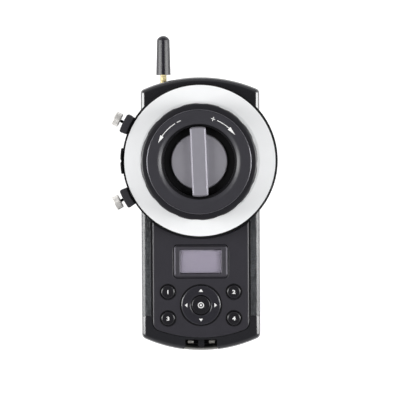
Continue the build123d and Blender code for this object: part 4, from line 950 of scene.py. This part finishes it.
@dataclass
class KnobMarks(Bench):
    """The printed arrows on the knob's face that show which way the clamp turns."""

    radius: float = 25.8
    line: float = 0.4
    head_width: float = 2.1
    loosen: tuple[float, float, float] = (122.0, 145.0, 155.0)
    tighten: tuple[float, float, float] = (66.0, 48.0, 36.5)
    sign: float = 1.2
    sign_gap: float = 5.5
    arrow_steps: int = 14
    thickness: float = 0.03

    def bar(self, angle: float, upright: bool) -> BMesh:
        """Draws one stroke of a sign at an angle round the face.

        Args:
            angle: Its place round the face, in degrees.
            upright: Whether the stroke runs along the radius.

        Returns:
            The flat stroke.
        """
        sides = (self.line, 2 * self.sign)
        shape = self.plate(*(sides if upright else reversed(sides)))
        self.move(shape, (0, self.radius, 0))
        self.rotate(shape, math.radians(angle) - QUARTER_TURN, "Z")
        return shape

    def arrow(self, start: float, neck: float, tip: float) -> BMesh:
        """Draws a curved arrow round the face.

        Args:
            start: Angle of its tail, in degrees.
            neck: Angle where its head starts.
            tip: Angle of its point.

        Returns:
            The flat arrow.
        """
        half, wide = self.line / 2, self.head_width / 2
        shape = self.lathe([(self.radius - half, 0.0), (self.radius + half, 0.0)],
                           self.arrow_steps, angle=math.radians(neck - start))
        self.rotate(shape, math.radians(start), "Z")
        shape.faces.new([
            shape.verts.new(Matrix.Rotation(math.radians(angle), 3, "Z") @ Vector((reach, 0, 0)))
            for angle, reach in (
                (neck, self.radius - wide), (neck, self.radius + wide), (tip, self.radius))
        ])
        return shape

    def build(self) -> None:
        """Prints both arrows and their signs."""
        minus, plus = self.loosen[0] - self.sign_gap, self.tighten[0] + self.sign_gap
        shape = self.arrow(*self.loosen)
        for part in (self.arrow(*self.tighten), self.bar(minus, upright=False),
                     self.bar(plus, upright=False), self.bar(plus, upright=True)):
            self.join(shape, part)
        self.drape(shape, "hand_knob", self.thickness)
        self.add("clamp_arrows", shape, WHEEL, PRINT_INK, "trim")


@dataclass
class FaceLine(Bench):
    """The thin diamond-cut ring that edges the knob's face."""

    width: float = 0.5
    rise: float = 0.08
    seat: float = 0.35
    steps: int = 180

    def build(self) -> None:
        """Turns the ring onto the edge of the face."""
        low, high = self.corners("hand_knob")
        radius, top, half = (high.x - low.x) / 2, high.z, self.width / 2
        shape = self.lathe([
            (radius - half, top - self.seat), (radius + half, top - self.seat),
            (radius + half, top - half), (radius + half / 2, top), (radius, top + self.rise),
            (radius - half / 2, top + self.rise), (radius - half, top - half / 2),
        ], self.steps, closed=True)
        self.add("face_line", shape, WHEEL, CUT_EDGE, "trim")


@dataclass
class ScallopedGrip(Bench):
    """The rubber grip round the knob, with shallow scallops for the fingers."""

    radius: float = 33.6
    edge: float = 1.4
    edge_steps: int = 6
    scallops: int = 16
    scallop_depth: float = 0.36
    scallop_radius: float = 20.0
    scallop_start: float = 110.0
    steps_per_scallop: int = 20

    def profile(self) -> list[tuple[float, float]]:
        """Draws the grip, from its inner foot round its outer edge.

        Returns:
            Radius and height of each point of the closed half outline.
        """
        foot, top = (corner.z for corner in self.corners("knob_grip"))
        inner = self.corners("hand_knob")[1].x
        points = [(inner, foot), (self.radius, foot)]
        for step in range(self.edge_steps + 1):
            angle = QUARTER_TURN * step / self.edge_steps
            points.append((self.radius - self.edge * (1 - math.cos(angle)),
                           top - self.edge * (1 - math.sin(angle))))
        return [*points, (inner, top)]

    def build(self) -> None:
        """Turns the grip and cuts its scallops."""
        shape = self.lathe(self.profile(), self.scallops * self.steps_per_scallop, closed=True)
        pitch = FULL_TURN / self.scallops
        cutter = self.radius - self.scallop_depth + self.scallop_radius
        for vertex in shape.verts:
            reach = vertex.co.xy.length
            angle = math.atan2(vertex.co.y, vertex.co.x) - math.radians(self.scallop_start)
            aside = (angle + pitch / 2) % pitch - pitch / 2
            chord = self.scallop_radius ** 2 - (cutter * math.sin(aside)) ** 2
            limit = cutter * math.cos(aside) - math.sqrt(chord)
            if limit < reach:
                vertex.co.xy *= limit / reach
        self.add("scalloped_grip", shape, WHEEL, MOULDED_RUBBER, "rubber", ("knob_grip",))


@dataclass
class BowlLacquer(Bench):
    """Painted shade: a black layer on the floor and the lower wall of the knob's bowl, where shadow
    falls.
    """

    inner: float = 16.5
    wall: float = 20.5
    outer: float = 21.7
    floor_rings: int = 4
    wall_rings: int = 8
    thickness: float = 0.03
    steps: int = 90

    def build(self) -> None:
        """Lays the painted shade into the bowl."""
        floor = self.wall - self.inner - self.thickness
        reaches = [self.inner + floor * ring / self.floor_rings
                   for ring in range(self.floor_rings + 1)]
        run = self.outer - self.wall - self.thickness
        reaches += [self.wall + self.thickness + run * (ring / self.wall_rings) ** 2
                    for ring in range(self.wall_rings + 1)]
        shape = self.lathe([(reach, 0.0) for reach in reaches], self.steps)
        self.drape(shape, "hand_knob", self.thickness)
        self.add("bowl_painted_shade", shape, WHEEL, PAINTED_SHADE_BLACK, "trim")


@dataclass(frozen=True)
class Viewpoint:
    """The camera, placed as the photograph was taken; lengths are millimetres, angles degrees."""

    aim: tuple[float, float, float] = (-0.25, -23.54, 34.0)
    distance: float = 1317.0
    view_width: float = 236.0
    sensor: float = 36.0
    east: float = 1.04
    north: float = 2.5
    roll: float = -0.3
    far: float = 100.0

    def build(self) -> None:
        """Sets up the camera."""
        aim = Vector(self.aim) * MM
        lean = Vector((math.tan(math.radians(self.east)), math.tan(math.radians(self.north)), 1.0))
        camera = bpy.data.cameras.new("viewpoint")
        camera.sensor_width = self.sensor
        camera.lens = self.sensor * self.distance / self.view_width
        camera.clip_end = self.far
        holder = bpy.data.objects.new("viewpoint", camera)
        back = lean.normalized()
        across = Vector((0, 1, 0)).cross(back).normalized()
        up = back.cross(across)
        turn = Matrix((across, up, back)).transposed() @ Matrix.Rotation(
            math.radians(self.roll), 3, "Z")
        holder.matrix_world = Matrix.Translation(aim + back * self.distance * MM) @ turn.to_4x4()
        bpy.context.scene.collection.objects.link(holder)
        bpy.context.scene.camera = holder


@dataclass(frozen=True)
class Studio:
    """A white floor, a sky that darkens overhead and a leaning bank of lamps on each side.

    Lengths are metres.
    """

    floor_radius: float = 6.0
    floor_sides: int = 64
    floor_gap: float = 0.0002
    floor_colour: str = "#d8d8d8"
    floor_glow: float = 0.62
    sky_colour: str = "#fbfbff"
    sky_horizon: float = 0.43
    sky_crown: float = 0.36
    sky_overhead: float = 0.06
    crown_rise: tuple[float, float] = (0.2, 0.7)
    crown_fall: tuple[float, float] = (0.8, 0.97)
    bank_low: tuple[float, float] = (0.9, 0.1)
    bank_high: tuple[float, float] = (0.5, 0.95)
    bank_width: float = 0.38
    bank_watts: tuple[float, float] = (7.8, 7.8)

    def floor(self) -> None:
        """Lays the floor, which shows as white with the object's soft shadow."""
        shape = bmesh.new()
        bmesh.ops.create_circle(shape, cap_ends=True, segments=self.floor_sides,
                                radius=self.floor_radius)
        bmesh.ops.translate(shape, verts=shape.verts, vec=(0, 0, -self.floor_gap))
        mesh = bpy.data.meshes.new("floor")
        shape.to_mesh(mesh)
        shape.free()
        material = bpy.data.materials.new("white_floor")
        tree = empty_tree(material)
        path = add_node(tree, "LightPath")
        seen = path.outputs["Is Camera Ray"]
        for ray in ("Is Glossy Ray", "Is Transmission Ray"):
            seen = add_node(tree, "Math", {
                0: seen, 1: path.outputs[ray],
            }, operation="MAXIMUM").outputs["Value"]
        paint = add_node(tree, "BsdfDiffuse", {"Color": linear(self.floor_colour)})
        glow = add_node(tree, "Emission", {"Strength": self.floor_glow})
        lit = add_node(tree, "AddShader", {0: paint.outputs["BSDF"], 1: glow.outputs["Emission"]})
        mixed = add_node(tree, "MixShader", {
            0: seen, 1: paint.outputs["BSDF"], 2: lit.outputs["Shader"],
        })
        add_node(tree, "OutputMaterial", {"Surface": mixed.outputs["Shader"]})
        mesh.materials.append(material)
        floor = bpy.data.objects.new("floor", mesh)
        bpy.context.scene.collection.objects.link(floor)

    def sky(self) -> None:
        """Sets a sky that is brightest half way up and dark overhead."""
        world = bpy.data.worlds.new("sky")
        tree = empty_tree(world)
        direction = add_node(tree, "TexCoord")
        parts = add_node(tree, "SeparateXYZ", {"Vector": direction.outputs["Generated"]})
        rise, fall = (
            add_node(tree, "MapRange", {
                "Value": parts.outputs["Z"], "From Min": span[0], "From Max": span[1],
                "To Min": first, "To Max": last,
            }, interpolation_type="SMOOTHSTEP")
            for span, first, last in (
                (self.crown_rise, self.sky_horizon, self.sky_crown),
                (self.crown_fall, 0.0, self.sky_crown - self.sky_overhead),
            )
        )
        level = add_node(tree, "Math", {
            0: rise.outputs["Result"], 1: fall.outputs["Result"],
        }, operation="SUBTRACT")
        glow = add_node(tree, "Background", {
            "Color": linear(self.sky_colour), "Strength": level.outputs["Value"],
        })
        add_node(tree, "OutputWorld", {"Surface": glow.outputs["Background"]})
        bpy.context.scene.world = world

    def banks(self) -> None:
        """Hangs a leaning bank of lamps at each side."""
        low, high = Vector(self.bank_low), Vector(self.bank_high)
        for side, watts in zip((-1, 1), self.bank_watts):
            lamp = bpy.data.lights.new("bank", "AREA")
            lamp.shape = "RECTANGLE"
            lamp.size = self.bank_width
            lamp.size_y = (high - low).length
            lamp.energy = watts
            middle = (low + high) / 2
            rise = (high - low).normalized()
            up = Vector((side * rise.x, 0, rise.y))
            back = Vector((side * rise.y, 0, -rise.x))
            across = up.cross(back)
            holder = bpy.data.objects.new("bank", lamp)
            holder.matrix_world = Matrix.Translation((side * middle.x, 0, middle.y)) @ Matrix(
                (across, up, back)).transposed().to_4x4()
            holder.visible_camera = False
            bpy.context.scene.collection.objects.link(holder)

    def build(self) -> None:
        """Sets up the floor, the sky and the lamps."""
        self.floor()
        self.sky()
        self.banks()


@dataclass(frozen=True)
class Controller:
    """The whole controller: its dressed nodes and the sub-assemblies modelled here."""

    index_angle: float = 180.0
    block_angle: float = 26.75

    def dress(self) -> None:
        """Gives every node of the frame its finish."""
        for finish, nodes in DRESSING.items():
            for node in nodes:
                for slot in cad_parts[node].material_slots:
                    slot.material = finish.material()
            log.info("%s: %s", finish.name, ", ".join(nodes))

    def parts(self) -> tuple[Bench, ...]:
        """Lists the sub-assemblies.

        Returns:
            The sub-assemblies, in the order in which they are built.
        """
        return (
            ThumbScrew("upper", self.index_angle - self.block_angle),
            ThumbScrew("lower", self.index_angle + self.block_angle),
            TripodBush(),
            HousingScrews(),
            AntennaNeck(),
            StrapPin(),
            OpeningRims(),
            KeyMarks(),
            KnobMarks(),
            FaceLine(),
            ScallopedGrip(),
            BowlLacquer(),
        )

    def build(self) -> None:
        """Dresses the nodes and builds the sub-assemblies in order."""
        self.dress()
        for part in self.parts():
            part.build()


def main() -> None:
    """Builds the scene."""
    logging.basicConfig(level=logging.INFO, format="%(message)s")
    bpy.context.scene.view_settings.view_transform = "Standard"
    Studio().build()
    Viewpoint().build()
    Controller().build()


if __name__ == "__main__":
    main()
